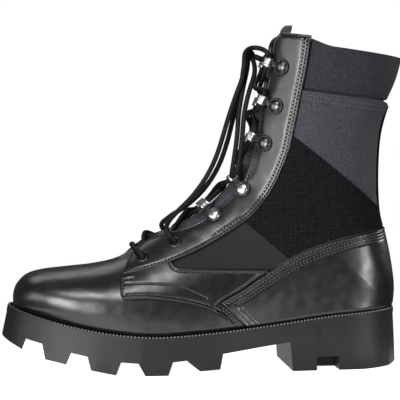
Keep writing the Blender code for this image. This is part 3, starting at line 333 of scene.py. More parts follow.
# %% Seams in side view
Mark = namedtuple("Mark", "x z")
EYESTAY_EDGE = [
    Mark(-90.0, 65.6), Mark(-64.4, 72.5), Mark(-37.4, 79.9), Mark(-23.8, 84.4), Mark(-4.8, 92.4),
    Mark(11.5, 101.3), Mark(26.5, 110.8), Mark(38.4, 120.4), Mark(52.2, 139.6), Mark(62.4, 164.4),
    Mark(66.4, 182.0), Mark(71.4, 206.7), Mark(77.3, 237.1), Mark(80.2, 262.0),
]
QUARTER_FRONT = [
    Mark(-44.0, 96.5), Mark(-52.0, 90.4), Mark(-57.6, 85.2), Mark(-62.3, 78.2), Mark(-64.8, 72.6),
    Mark(-66.8, 66.0), Mark(-66.8, 56.4),
]
QUARTER_FOOT = [
    Mark(-90.0, 55.4), Mark(-66.6, 56.4), Mark(-44.7, 56.8), Mark(-22.0, 54.2), Mark(-2.8, 49.2),
    Mark(10.4, 42.3), Mark(24.0, 31.0),
]
WINDOW_EDGE = [
    Mark(-23.6, 90.4), Mark(-25.6, 86.8), Mark(-26.2, 83.2), Mark(-24.6, 80.2), Mark(-21.0, 79.0),
    Mark(-6.3, 78.5), Mark(24.3, 78.0), Mark(90.0, 77.6),
]
COUNTER_EDGE = [
    Mark(24.4, 31.9), Mark(13.4, 43.0), Mark(5.8, 50.7), Mark(28.2, 63.9), Mark(63.8, 85.5),
    Mark(86.4, 95.2), Mark(110.6, 102.3), Mark(150.0, 109.4),
]


print("marks on the eyestay's seam", len(EYESTAY_EDGE))

# %% [markdown]
# ### Seams on the sections
# A seam is found on a section where the two lines cross in side view. The other way round, the section
# through a place is found by halving the range of rows until the place lies on it.

# %% Seams found on the last


def seam_line(marks, pieces=12):
    """A smooth side-view line through the marks of a seam, as rows of (x, z)."""
    keys = np.arange(len(marks))
    at = np.linspace(0, len(marks) - 1, (len(marks) - 1) * pieces + 1)
    return np.stack([smooth(keys, [m.x for m in marks], at), smooth(keys, [m.z for m in marks], at)], -1)


def crossing_turn(row, line, otherwise):
    """Turn at which each section crosses a seam line, or otherwise where it doesn't."""
    row = np.atleast_1d(np.asarray(row, float))
    top_x, top_z = top_of(row)
    foot_x, foot_z = foot_of(row)
    run_x, run_z = (foot_x - top_x)[:, None], (foot_z - top_z)[:, None]
    step = np.diff(line, axis=0)
    gap_x, gap_z = line[None, :-1, 0] - top_x[:, None], line[None, :-1, 1] - top_z[:, None]
    area = run_x * step[None, :, 1] - run_z * step[None, :, 0]
    area = np.where(np.abs(area) < 1e-9, 1e-9, area)
    share = (gap_x * step[None, :, 1] - gap_z * step[None, :, 0]) / area
    place = (gap_x * run_z - gap_z * run_x) / area
    met = (place >= 0) & (place <= 1) & (share >= 0) & (share <= 1)
    first = met.argmax(axis=1)
    found = share[np.arange(len(row)), first]
    return np.where(met.any(axis=1), turn_at_share(row, found), otherwise)


def row_and_turn(x, z):
    """Row and turn of side-view places on the foot or shaft."""
    x, z = np.asarray(x, float), np.asarray(z, float)
    low, high = np.full(x.shape, float(ROW["toe_end"])), np.full(x.shape, float(ROW["above"]))
    for _ in range(40):
        middle = (low + high) / 2
        top_x, top_z = top_of(middle)
        foot_x, foot_z = foot_of(middle)
        beyond = (foot_x - top_x) * (z - top_z) > (foot_z - top_z) * (x - top_x)
        low, high = np.where(beyond, middle, low), np.where(beyond, high, middle)
    top_x, _ = top_of(low)
    foot_x, _ = foot_of(low)
    return low, turn_at_share(low, np.maximum(0, (x - top_x) / (foot_x - top_x)))


eyestay_line, front_line, foot_line, window_line, counter_line = (
    seam_line(marks) for marks in (EYESTAY_EDGE, QUARTER_FRONT, QUARTER_FOOT, WINDOW_EDGE, COUNTER_EDGE)
)
print("eyestay seam length, mm", round(float(np.linalg.norm(np.diff(eyestay_line, axis=0), axis=1).sum())))

# %% [markdown]
# ## Finishes
# Everything on this boot is black, so the eye tells the pieces apart by gloss and texture alone. One
# function turns a hex colour into linear light and one adds a shader node. After that each material is
# a short recipe: what it is, how its surface was made, and which sizes in millimetres that gives.

# %% Helpers for finishes


def linear(code):
    """Linear RGBA of an sRGB hex colour."""
    parts = [int(code[i : i + 2], 16) / 255 for i in (1, 3, 5)]
    return [c / 12.92 if c <= 0.04045 else ((c + 0.055) / 1.055) ** 2.4 for c in parts] + [1.0]


def per_mm(size):
    """Texture scale that gives a pattern of the given size in mm."""
    return 1 / (size * MM)


def add_node(tree, kind, settings=None, links=None):
    """A shader node with its properties or input values set and its inputs linked."""
    made = tree.nodes.new(kind)
    for name, value in (settings or {}).items():
        if isinstance(name, int) or name in made.inputs:
            made.inputs[name].default_value = value
        else:
            setattr(made, name, value)
    for name, socket in (links or {}).items():
        tree.links.new(socket, made.inputs[name])
    return made


def new_finish(name, colour, roughness, metallic=0.0, sockets=None):
    """A material with its Principled shader set, and its node tree to add to."""
    made = bpy.data.materials.new(name)
    made.use_nodes = True
    shader = made.node_tree.nodes["Principled BSDF"]
    values = {"Base Color": linear(colour), "Roughness": roughness, "Metallic": metallic}
    for socket, value in (values | (sockets or {})).items():
        shader.inputs[socket].default_value = value
    return made, made.node_tree, shader


print("mid grey #808080 in linear light is", round(linear("#808080")[0], 3))

# %% [markdown]
# ### Polished cowhide
# Corrected-grain cowhide, dyed black and brushed with wax. The wax levels the pores, so the gloss is
# soft and broad rather than mirror-like, and the grain only shows as a fine pebble where light grazes
# it. Pores are really about 0.3 mm apart; they are drawn at 1.1 mm so that the render can show them.

# %% Leather finish
GRAIN_MM = 1.1
HIDE_PATCH_MM = 26
RUB_MM = 7
HIDE_WAVE_MM = 10


def polished_leather():
    wax = {"IOR": 1.5, "Coat Weight": 0.1, "Coat Roughness": 0.25}
    made, tree, shader = new_finish("polished_black_cowhide", "#0c0c0d", 0.34, sockets=wax)
    place = add_node(tree, "ShaderNodeTexCoord").outputs["Object"]
    patch = add_node(
        tree, "ShaderNodeTexNoise", {"Scale": per_mm(HIDE_PATCH_MM), "Detail": 3}, {"Vector": place}
    )
    tint = add_node(
        tree, "ShaderNodeMix", {"data_type": "RGBA", 6: linear("#090909"), 7: linear("#121113")},
        {0: patch.outputs["Fac"]},
    )
    tree.links.new(tint.outputs[2], shader.inputs["Base Color"])
    rub = add_node(tree, "ShaderNodeTexNoise", {"Scale": per_mm(RUB_MM), "Detail": 2}, {"Vector": place})
    gloss = add_node(
        tree, "ShaderNodeMapRange", {"From Min": 0.3, "From Max": 0.7, "To Min": 0.29, "To Max": 0.37},
        {"Value": rub.outputs["Fac"]},
    )
    tree.links.new(gloss.outputs[0], shader.inputs["Roughness"])
    grain = add_node(
        tree, "ShaderNodeTexVoronoi", {"feature": "SMOOTH_F1", "Scale": per_mm(GRAIN_MM), "Smoothness": 0.6},
        {"Vector": place},
    )
    relief = add_node(
        tree, "ShaderNodeBump", {"Strength": 0.3, "Distance": 0.12 * MM},
        {"Height": grain.outputs["Distance"]},
    )
    wave = add_node(
        tree, "ShaderNodeTexNoise", {"Scale": per_mm(HIDE_WAVE_MM), "Detail": 0}, {"Vector": place}
    )
    uneven = add_node(
        tree, "ShaderNodeBump", {"Strength": 0.45, "Distance": 0.9 * MM},
        {"Height": wave.outputs["Fac"], "Normal": relief.outputs[0]},
    )
    tree.links.new(uneven.outputs[0], shader.inputs["Normal"])
    return made


leather = polished_leather()
print("finish", leather.name)

# %% [markdown]
# ### Woven cloths
# The shaft is plain-woven nylon: threads go over one and under one, which leaves a fine chequer of
# bumps. The strap is a heavy basket weave set on the bias, and the collar a softer, closer cloth. The
# weave rides on a flat cloth map in millimetres that each panel carries, so threads follow the panel.
# Real threads are about 0.5 mm apart; they are drawn about twice as coarse so that they show.

# %% Cloth finishes
NYLON_THREAD_MM = 1.1
STRAP_THREAD_MM = 1.3
COLLAR_THREAD_MM = 0.8
LINING_THREAD_MM = 1.2
SLUB_MM = 1.5
CLOTH_MAP = "cloth_mm"


def woven_cloth(name, dark, light, thread_mm, roughness, relief_mm, weave, bias=0.0, sheen=0.0, gloss=0.2):
    """Cloth whose height and colour follow crossing threads, each thread_mm wide."""
    made, tree, shader = new_finish(
        name, dark, roughness,
        sockets={"IOR": 1.5, "Specular IOR Level": gloss, "Sheen Weight": sheen, "Sheen Roughness": 0.5},
    )
    flat = add_node(tree, "ShaderNodeUVMap", {"uv_map": CLOTH_MAP})
    rotated = add_node(
        tree, "ShaderNodeMapping", {"Rotation": (0, 0, bias), "Scale": (math.pi / thread_mm,) * 3},
        {"Vector": flat.outputs[0]},
    )
    axes = add_node(tree, "ShaderNodeSeparateXYZ", {}, {0: rotated.outputs[0]})
    warp = add_node(tree, "ShaderNodeMath", {"operation": "SINE"}, {0: axes.outputs[0]})
    weft = add_node(tree, "ShaderNodeMath", {"operation": "SINE"}, {0: axes.outputs[1]})
    cross = add_node(
        tree, "ShaderNodeMath", {"operation": "MULTIPLY"}, {0: warp.outputs[0], 1: weft.outputs[0]}
    )
    place = add_node(tree, "ShaderNodeTexCoord").outputs["Object"]
    slub = add_node(tree, "ShaderNodeTexNoise", {"Scale": per_mm(SLUB_MM), "Detail": 3}, {"Vector": place})
    height = add_node(
        tree, "ShaderNodeMath", {"operation": "MULTIPLY_ADD", 1: weave},
        {0: cross.outputs[0], 2: slub.outputs["Fac"]},
    )
    tint = add_node(
        tree, "ShaderNodeMapRange", {"From Min": 0.2, "From Max": 0.85}, {"Value": height.outputs[0]}
    )
    colour = add_node(
        tree, "ShaderNodeMix", {"data_type": "RGBA", 6: linear(dark), 7: linear(light)}, {0: tint.outputs[0]}
    )
    tree.links.new(colour.outputs[2], shader.inputs["Base Color"])
    relief = add_node(
        tree, "ShaderNodeBump", {"Strength": 0.6, "Distance": relief_mm * MM}, {"Height": height.outputs[0]}
    )
    tree.links.new(relief.outputs[0], shader.inputs["Normal"])
    return made


ON_THE_BIAS = math.radians(45)
nylon = woven_cloth("plain_woven_nylon", "#15161a", "#3a3b42", NYLON_THREAD_MM, 0.7, 0.3, 0.08, sheen=0.05)
webbing = woven_cloth(
    "basket_woven_webbing", "#020202", "#19191c", STRAP_THREAD_MM, 0.9, 0.4, 0.34, ON_THE_BIAS, gloss=0.05
)
collar_cloth = woven_cloth(
    "brushed_collar_cloth", "#0b0c0e", "#2a2b31", COLLAR_THREAD_MM, 0.8, 0.2, 0.05, sheen=0.05
)
# A darker copy of the shaft's nylon for the quarters' windows: painted shade on the recessed cloth.
nylon_shaded_copy = woven_cloth("nylon_painted_shade", "#0a0a0c", "#1b1c1f", NYLON_THREAD_MM, 0.75, 0.3, 0.12)
lining = woven_cloth("knitted_lining", "#121213", "#242426", LINING_THREAD_MM, 0.9, 0.3, 0.2)
print("cloths", [m.name for m in (nylon, webbing, collar_cloth, nylon_shaded_copy, lining)])

# %% [markdown]
# ### Moulded rubber
# The sole is pressed in a hot steel mould, which leaves a matt, faintly mottled skin. It takes only a
# soft grey light on its edges, and that sets it apart from the leather above.

# %% Rubber finish
MOULD_MOTTLE_MM = 3.0


def moulded_rubber():
    matt = {"IOR": 1.52, "Specular IOR Level": 0.24}
    made, tree, shader = new_finish("moulded_black_rubber", "#0a0a0b", 0.5, sockets=matt)
    place = add_node(tree, "ShaderNodeTexCoord").outputs["Object"]
    mottle = add_node(
        tree, "ShaderNodeTexNoise", {"Scale": per_mm(MOULD_MOTTLE_MM), "Detail": 5}, {"Vector": place}
    )
    tint = add_node(
        tree, "ShaderNodeMix", {"data_type": "RGBA", 6: linear("#090909"), 7: linear("#131314")},
        {0: mottle.outputs["Fac"]},
    )
    tree.links.new(tint.outputs[2], shader.inputs["Base Color"])
    relief = add_node(
        tree, "ShaderNodeBump", {"Strength": 0.25, "Distance": 0.15 * MM}, {"Height": mottle.outputs["Fac"]}
    )
    tree.links.new(relief.outputs[0], shader.inputs["Normal"])
    return made


rubber = moulded_rubber()
print("finish", rubber.name)

# %% [markdown]
# ### Nickel, enamel and thread
# The hooks' loops and the lower domes are bright nickel plate, which mirrors the room. The upper domes
# and the eyelets' rims get a darker copy of the nickel, which is painted shade where they mirror the dark
# room, and the plates, necks and barrels are black stoved enamel; on the necks that black is painted shade.
# Bonded, spun and waxed threads are dull; the grey of the quarters' thread and the pale grey of the rim's
# thread are painted highlight. All have a gloss that is a little uneven, from fine scratches or fibre ends.

# %% Metal and thread finishes
HAZE_MM = 1.8


def hazed_finish(name, colour, roughness, metallic=1.0, specular=0.5):
    """Plate, enamel or thread whose gloss is uneven: a haze of fine scratches, wax or fibre ends."""
    made, tree, shader = new_finish(name, colour, roughness, metallic, {"Specular IOR Level": specular})
    place = add_node(tree, "ShaderNodeTexCoord").outputs["Object"]
    haze = add_node(tree, "ShaderNodeTexNoise", {"Scale": per_mm(HAZE_MM), "Detail": 3}, {"Vector": place})
    gloss = add_node(
        tree, "ShaderNodeMapRange", {"To Min": roughness * 0.6, "To Max": roughness * 1.5},
        {"Value": haze.outputs["Fac"]},
    )
    tree.links.new(gloss.outputs[0], shader.inputs["Roughness"])
    return made


nickel = hazed_finish("bright_nickel_plate", "#a9a7a3", 0.32)
# A darker copy of the nickel: painted shade on the upper domes and the eyelets' rims, where they mirror the
# dark room.
shaded_nickel = hazed_finish("nickel_painted_shade", "#4e4e50", 0.3)
# Black enamel on the hooks' plates and rims and in the eyelets' barrels; on the hooks' necks the same black
# is painted shade.
enamel_and_shade = hazed_finish("black_enamel_and_painted_shade", "#101011", 0.35, metallic=0.0)
thread = hazed_finish("bonded_nylon_thread", "#0d0d0e", 0.6, metallic=0.0, specular=0.12)
# Grey thread for the quarters and the counter: painted highlight for the light the stitches catch.
thread_painted_sheen = hazed_finish("bonded_thread_painted_sheen", "#38383a", 0.6, metallic=0.0, specular=0.2)
hem_thread = hazed_finish("spun_polyester_thread", "#4a4a4e", 0.7, metallic=0.0, specular=0.15)
# Pale grey thread for the sole's rim: painted highlight for the light its stitches catch.
rim_thread_painted_highlight = hazed_finish("waxed_thread_painted_highlight", "#626264", 0.6, metallic=0.0, specular=0.25)
print("metals", [m.name for m in (nickel, shaded_nickel, enamel_and_shade)])
print("threads", [m.name for m in (thread, thread_painted_sheen, hem_thread, rim_thread_painted_highlight)])

# %% [markdown]
# ### Braided cord
# The lace is a round braid of waxed polyester. Its strands run both ways round the cord and pass over
# and under each other, so it looks like a fine chequer on the bias. They are really about 1 mm apart and
# are drawn at 2.4 mm so that they show.

# %% Cord finish
BRAID_MM = 2.4


def braided_cord():
    """Two families of strands that cross round the cord, from its map of length and girth."""
    dull = {"Specular IOR Level": 0.15}
    made, tree, shader = new_finish("braided_waxed_polyester", "#0c0c0d", 0.6, sockets=dull)
    flat = add_node(tree, "ShaderNodeUVMap", {"uv_map": CLOTH_MAP})
    rotated = add_node(
        tree, "ShaderNodeMapping",
        {"Rotation": (0, 0, ON_THE_BIAS), "Scale": (2 * math.pi / BRAID_MM,) * 3},
        {"Vector": flat.outputs[0]},
    )
    axes = add_node(tree, "ShaderNodeSeparateXYZ", {}, {0: rotated.outputs[0]})
    over = add_node(tree, "ShaderNodeMath", {"operation": "SINE"}, {0: axes.outputs[0]})
    under = add_node(tree, "ShaderNodeMath", {"operation": "SINE"}, {0: axes.outputs[1]})
    braid = add_node(
        tree, "ShaderNodeMath", {"operation": "MULTIPLY"}, {0: over.outputs[0], 1: under.outputs[0]}
    )
    tint = add_node(tree, "ShaderNodeMapRange", {"From Min": -1, "From Max": 1}, {"Value": braid.outputs[0]})
    colour = add_node(
        tree, "ShaderNodeMix", {"data_type": "RGBA", 6: linear("#040404"), 7: linear("#121213")},
        {0: tint.outputs[0]},
    )
    tree.links.new(colour.outputs[2], shader.inputs["Base Color"])
    relief = add_node(
        tree, "ShaderNodeBump", {"Strength": 0.6, "Distance": 0.3 * MM}, {"Height": tint.outputs[0]}
    )
    tree.links.new(relief.outputs[0], shader.inputs["Normal"])
    return made


cord = braided_cord()
print("finish", cord.name)

# %% [markdown]
# ## Meshes from arrays
# Panels, walls and pads are all grids on the last. A grid could be modelled by hand and subdivided,
# but here every corner is worked out with numpy, which keeps close steps where an edge rolls over and
# wide steps in the middle. Each grid gets an outer and an inner face and a strip round its border, so
# the result is one closed skin.

# %% Grid pieces
EDGE_STEPS = np.array([0, 0.25, 0.55, 0.9, 1.3, 1.75, 2.25, 2.8, 3.4, 4.1, 4.9, 5.8, 6.8, 7.9])


def run_lengths(points):
    """Length along rows of points, from their first, on the last but one axis."""
    steps = np.linalg.norm(np.diff(points, axis=-2), axis=-1)
    return np.concatenate([np.zeros_like(steps[..., :1]), np.cumsum(steps, axis=-1)], axis=-1)


def spread(length, count):
    """Places along a length in mm: close together at both edges, even between them."""
    edge = EDGE_STEPS * min(1, 0.8 * length / (2 * EDGE_STEPS[-1]))
    inner = np.linspace(edge[-1], length - edge[-1], count + 2)[1:-1]
    return np.concatenate([edge, inner, length - edge[::-1]])


def outward_faces(mesh, merge=0.0):
    """The mesh with its faces turned outwards, and corners closer than merge, in mm, joined first."""
    bm = bmesh.new()
    bm.from_mesh(mesh)
    if merge:
        bmesh.ops.remove_doubles(bm, verts=bm.verts, dist=merge * MM)
    bmesh.ops.recalc_face_normals(bm, faces=bm.faces)
    bm.to_mesh(mesh)
    bm.free()
    return mesh


def closed_skin(name, outer, inner, cloth, keep=None, outer_kind=None, inner_kind=0):
    """A closed mesh from two grids of points in mm, with a cloth map in mm and material numbers."""
    rows, columns = outer.shape[:2]
    spot = np.arange(rows * columns).reshape(rows, columns)
    quads = np.stack([spot[:-1, :-1], spot[:-1, 1:], spot[1:, 1:], spot[1:, :-1]], -1)
    keep = np.ones(quads.shape[:2], bool) if keep is None else keep
    kind = np.zeros(quads.shape[:2], int) if outer_kind is None else outer_kind
    flat = outer.reshape(-1, 3)
    _, first, index = np.unique(np.round(flat + 0.0031, 2), axis=0, return_index=True, return_inverse=True)
    index = index.reshape(-1)
    count = len(first)
    faces, spots, kinds, border = [], [], [], {}

    def add(corners, places, number):
        held = [n for n in range(len(corners)) if corners[n] != corners[n - 1]]
        if len({corners[n] for n in held}) > 2:
            faces.append([corners[n] for n in held])
            spots.extend(places[n] for n in held)
            kinds.append(number)

    for quad, number in zip(quads[keep].tolist(), kind[keep].tolist()):
        corners = index[quad].tolist()
        add(corners, quad, number)
        add([c + count for c in corners[::-1]], quad[::-1], inner_kind)
        for n in range(4):
            pair = (corners[n - 1], corners[n])
            if pair[0] != pair[1]:
                if pair[::-1] in border:
                    del border[pair[::-1]]
                else:
                    border[pair] = (quad[n - 1], quad[n], number)
    for (a, b), (place_a, place_b, number) in border.items():
        add([b, a, a + count, b + count], [place_b, place_a, place_a, place_b], number)
    mesh = bpy.data.meshes.new(name)
    points = np.concatenate([flat[first], inner.reshape(-1, 3)[first]]) * MM
    mesh.from_pydata(points.tolist(), [], faces)
    mesh.polygons.foreach_set("material_index", kinds)
    mesh.uv_layers.new(name=CLOTH_MAP).data.foreach_set("uv", cloth.reshape(-1, 2)[spots].ravel())
    return outward_faces(mesh)


print("steps at an edge, mm", EDGE_STEPS[:4])

# %% [markdown]
# ### From mesh to piece
# Every piece is made in the same way: it gets its finishes and smooth shading, rides on the boot's one
# body, and hides the plain solid that it stands for.

# %% Pieces


def new_piece(name, mesh, finishes, replaced=(), sharp=55):
    """A piece of the boot: its finishes, and the plain solid that it stands for."""
    made = placed(name, mesh)
    for finish in finishes:
        mesh.materials.append(finish)
    mesh.shade_smooth()
    mesh.set_sharp_from_angle(angle=math.radians(sharp))
    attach(made, "root")
    if replaced:
        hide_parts(*replaced)
    print(name, "triangles", sum(len(face.vertices) - 2 for face in mesh.polygons))
    return made


print("finishes ready", len(bpy.data.materials))

# %% [markdown]
# ## Panels on the last
# A panel is the stretch of the last between two seams. Its grid remembers how far each corner is from
# each border, because nearly everything a stitcher does to leather follows the edge: it is skived and
# folded over, a bead stands up beside it, and the stitch rows run at fixed distances from it.

# %% Panel grids
Panel = namedtuple("Panel", "rows turns sides points gaps")


def cloth_map(points):
    """Flat cloth coordinates in mm: run along each row of points, and height."""
    flat = run_lengths(points[..., :2])
    start = points[..., 0] * 0 + points[:, :1, 0]
    return np.stack([start + flat, points[..., 2]], -1)


def border_gaps(points, border):
    """Distance in mm of every corner from a border line."""
    steps = border[1:] - border[:-1]
    dense = np.concatenate([border[:-1] + steps * share for share in (0, 0.25, 0.5, 0.75)])
    tree = KDTree(len(dense))
    for number, point in enumerate(dense):
        tree.insert(point, number)
    tree.balance()
    return np.array([tree.find(point)[2] for point in points.reshape(-1, 3)]).reshape(points.shape[:2])


def panel_grid(first, last, low, high, sides, step=1.5):
    """Grid of a panel between two seams, on one side or round the back from one side to the other."""
    whole = len(sides) > 1

    def ends(rows):
        start = low(rows, sides[0])
        return start, 4 - low(rows, sides[1]) if whole else high(rows, sides[0])

    def spot(rows, run):
        side = np.where(run <= 2, sides[0], sides[-1])
        return rows, np.where(run <= 2, run, 4 - run), side

    fine = np.linspace(first, last, 300)
    start, end = ends(fine)
    lengths = run_lengths(surface(*spot(fine, start + (end - start) * (0.25 if whole else 0.5))))
    rows = np.interp(spread(lengths[-1], int(lengths[-1] / step)), lengths, fine)
    start, end = ends(rows)
    runs = start[:, None] + (end - start)[:, None] * np.linspace(0, 1, 90)
    lengths = run_lengths(surface(*spot(rows[:, None], runs)))
    count = int(np.median(lengths[:, -1]) / step)
    runs = np.stack([np.interp(spread(length[-1], count), length, run) for length, run in zip(lengths, runs)])
    rows, turns, side = np.broadcast_arrays(*spot(rows[:, None], runs))
    points = surface(rows, turns, side)
    lines = {"first": points[0], "last": points[-1], "low": points[:, 0], "high": points[:, -1]}
    gaps = {name: border_gaps(points, line) for name, line in lines.items()}
    return Panel(rows, turns, side, points, gaps)


print("a panel holds", Panel._fields)

# %% [markdown]
# ### Edges of a panel
# Low down the hide goes in behind the rim of the sole, so it is drawn in there. Where it is cut, it is
# skived, folded and hammered, which leaves a quarter round with a low bead beside it.

# %% Tucks and edges
RIM_CLEARANCE = 0.8
TUCK_DEPTH, TUCK_HEIGHT = 2.6, 4.6
ROLL_RADIUS, BEAD_PLACE, BEAD_WIDTH = 1.0, 1.5, 0.8


def foot_tuck(points):
    """How far the skin is drawn in, in mm, where it goes down behind the rim of the sole."""
    height = points[..., 2] - rim_z(points[..., 0])
    return TUCK_DEPTH * (1 - np.clip(height / TUCK_HEIGHT, 0, 1)) ** 2


def panel_points(panel, lift):
    """Points of a panel at a lift over the last, kept clear of the sole's rim."""
    out = outwards(panel.rows, panel.turns, panel.sides)
    points = panel.points + out * (lift - foot_tuck(panel.points))[..., None]
    points[..., 2] = np.maximum(points[..., 2], rim_z(points[..., 0]) + RIM_CLEARANCE)
    return points


def rolled_edge(gap, thickness, bead=0.0):
    """Height of a cut and folded edge: a quarter round, then a low bead beside it."""
    share = np.clip(gap / ROLL_RADIUS, 0, 1)
    roll = 0.12 + 0.88 * np.sqrt(1 - (1 - share) ** 2)
    return thickness * roll + bead * np.exp(-(((gap - BEAD_PLACE) / BEAD_WIDTH) ** 2))


print("panels are tucked in behind the rim by", TUCK_DEPTH, "mm")

# %% [markdown]
# ### Seams on a panel
# A stitcher guides most rows of stitches along an edge and draws the rest on the leather first. Both
# kinds end up as the same thing here: a line of rows and turns on the last. The leather is pulled down
# along that line, and the thread is laid in the groove later.

# %% Lines for the needle


def sewn_line(panel, border, distance, keep_off=1.2):
    """Row, turn and side of the points of a panel at a fixed distance from one border."""
    others = [gap for name, gap in panel.gaps.items() if name != border]
    grids = [panel.rows, panel.turns, panel.sides, panel.gaps[border], np.minimum.reduce(others)]
    if border in ("first", "last"):
        grids = [grid.T for grid in grids]
    if border in ("high", "last"):
        grids = [grid[:, ::-1] for grid in grids]
    line = []
    for row, turn, side, gap, other in zip(*grids):
        n = int(np.argmax(gap >= distance))
        if n and other[n] > keep_off:
            share = (distance - gap[n - 1]) / (gap[n] - gap[n - 1])
            spot = [grid[n - 1] + share * (grid[n] - grid[n - 1]) for grid in (row, turn)]
            line.append((*spot, side[n]))
    return np.array(line)


def shifted(line, distance):
    """A side-view line moved to its left by a distance in mm."""
    run = np.gradient(line, axis=0)
    run /= np.linalg.norm(run, axis=1)[:, None]
    return line + distance * np.stack([-run[:, 1], run[:, 0]], -1)


def drawn_line(line, side):
    """Row, turn and side of a seam that is drawn in side view."""
    rows, turns = row_and_turn(line[:, 0], line[:, 1])
    return np.stack([rows, turns, np.full(len(rows), float(side))], -1)


def stitch_groove(points, seam, depth=0.6, half_width=0.7):
    """Lowering of the leather along one seam."""
    gap = border_gaps(points, surface(*seam.T))
    return -depth * np.exp(-((gap / half_width) ** 2))


print("points on the window's seam", len(drawn_line(window_line, SIDES["lateral"])))

# %% [markdown]
# ## The upper's wall
# The upper is one hollow wall: waxed hide over the foot, nylon above the ankle, and a padded collar.
# It could be three sheets, but the seams between them lie under the leather panels, so one closed wall
# with a finish for each region is simpler and has no cracks. Its skin is then pushed in and out: creases
# over the ball, a folded hem under the collar, a soft roll round the collar, and a slack pleat at the
# back of the ankle.

# %% Folds and hems of the wall
WALL = 2.4
COLLAR_STEP = 1.8
COLLAR_GROOVE, COLLAR_GROOVE_ROWS = 2.0, 0.05
COLLAR_RISE, COLLAR_RISE_TURNS = 0.24, (0.62, 0.92)
COLLAR_PUFF, COLLAR_PUFF_ROWS = 1.4, 2.1
HEM_LIFT, HEM_WIDTH = 0.6, 9.0
CLOTH_START = [
    Mark(-160, 92), Mark(-60, 84), Mark(-26, 75), Mark(20, 70), Mark(64, 80), Mark(110, 97), Mark(170, 104),
]
Crease = namedtuple("Crease", "x z x_end z_end width height")
CREASES = [
    Crease(-96, 60, -80, 48, 6.0, -0.16), Crease(-88, 64, -70, 52, 6.0, 0.14),
    Crease(-106, 55, -95, 44, 5.0, -0.12), Crease(-76, 62, -66, 47, 5.0, -0.14),
    Crease(-62, 53, -50, 40, 5.5, 0.14), Crease(-38, 52, -27, 41, 6.0, -0.16),
    Crease(-12, 44, 0, 36, 5.0, 0.14), Crease(121, 118, 136, 128, 2.6, 1.0),
    Crease(117, 122, 133, 134, 3.0, -0.8),
]


def ramp(value, start, end):
    """0 at start, 1 at end, and a soft slope between."""
    share = np.clip((value - start) / (end - start), 0, 1)
    return share * share * (3 - 2 * share)


def crease_lift(points):
    """Height of the listed troughs and ridges at points of the skin."""
    lift = np.zeros(points.shape[:2])
    for crease in CREASES:
        start = np.array([crease.x, crease.z])
        step = np.array([crease.x_end, crease.z_end]) - start
        side_view = points[..., [0, 2]] - start
        share = np.clip(side_view @ step / (step @ step), 0, 1)
        away = np.linalg.norm(side_view - share[..., None] * step, axis=-1)
        lift += crease.height * np.exp(-((away / crease.width) ** 2)) * np.sin(math.pi * (0.1 + 0.8 * share))
    return lift


def wall_lift(rows, points):
    """Height of the wall over the plain last: hem, collar roll and creases."""
    edge = surface(HEM_ROW, np.linspace(0.2, 2.0, 200), -1)
    edge = np.concatenate([edge, surface(HEM_ROW, np.linspace(2.0, 0.2, 200), 1)])
    gap = np.where(np.abs(rows - HEM_ROW) < 4, border_gaps(points, edge), 99)
    hem = HEM_LIFT * (1 - ramp(gap, HEM_WIDTH - 1.0, HEM_WIDTH)) * (rows <= HEM_ROW)
    on_collar = ramp(rows, HEM_ROW + 0.005, HEM_ROW + 0.05)
    puff = np.sin(math.pi * np.clip((rows - HEM_ROW) / COLLAR_PUFF_ROWS, 0, 1)) ** 0.6
    groove = np.exp(-(((rows - HEM_ROW) / COLLAR_GROOVE_ROWS - 1) ** 2))
    collar = on_collar * (-COLLAR_STEP + COLLAR_PUFF * puff - COLLAR_GROOVE * groove)
    return hem + collar + crease_lift(points) * (rows < ROW["shaft"]) - foot_tuck(points)


print("creases placed", len(CREASES))

# %% [markdown]
# ### Wall from heel to heel
# The grid starts at the foot of one side, goes over the top and ends at the foot of the other. On the
# shaft both feet meet at the back. Rows lie closer together at the hem, where the cloth steps in under
# the collar. The quads over the throat are left out, and the collar climbs towards the eyestays.

# %% Make the wall
WALL_STEP = 1.9
WALL_COLUMNS = 56


def wall_rows():
    """Rows of the wall: an even step along its longest lines, and close ones at the hem."""
    fine = np.linspace(0, ROW["collar_top"], 1200)
    steps = [run_lengths(surface(fine, turn, -1)) for turn in (0.3, 1.0, 1.6)]
    lengths = np.maximum.reduce([np.diff(s) for s in steps]).cumsum()
    count = int(lengths[-1] / WALL_STEP)
    even = np.interp(np.linspace(0, lengths[-1], count), np.concatenate([[0], lengths]), fine)
    hem = HEM_ROW + np.array([-0.03, -0.01, 0.0, 0.005, 0.02, 0.035, 0.05, 0.07, 0.09, 0.12, 0.15])
    throat = [float(ROW["throat"])]
    return np.unique(np.concatenate([even, hem, throat]))


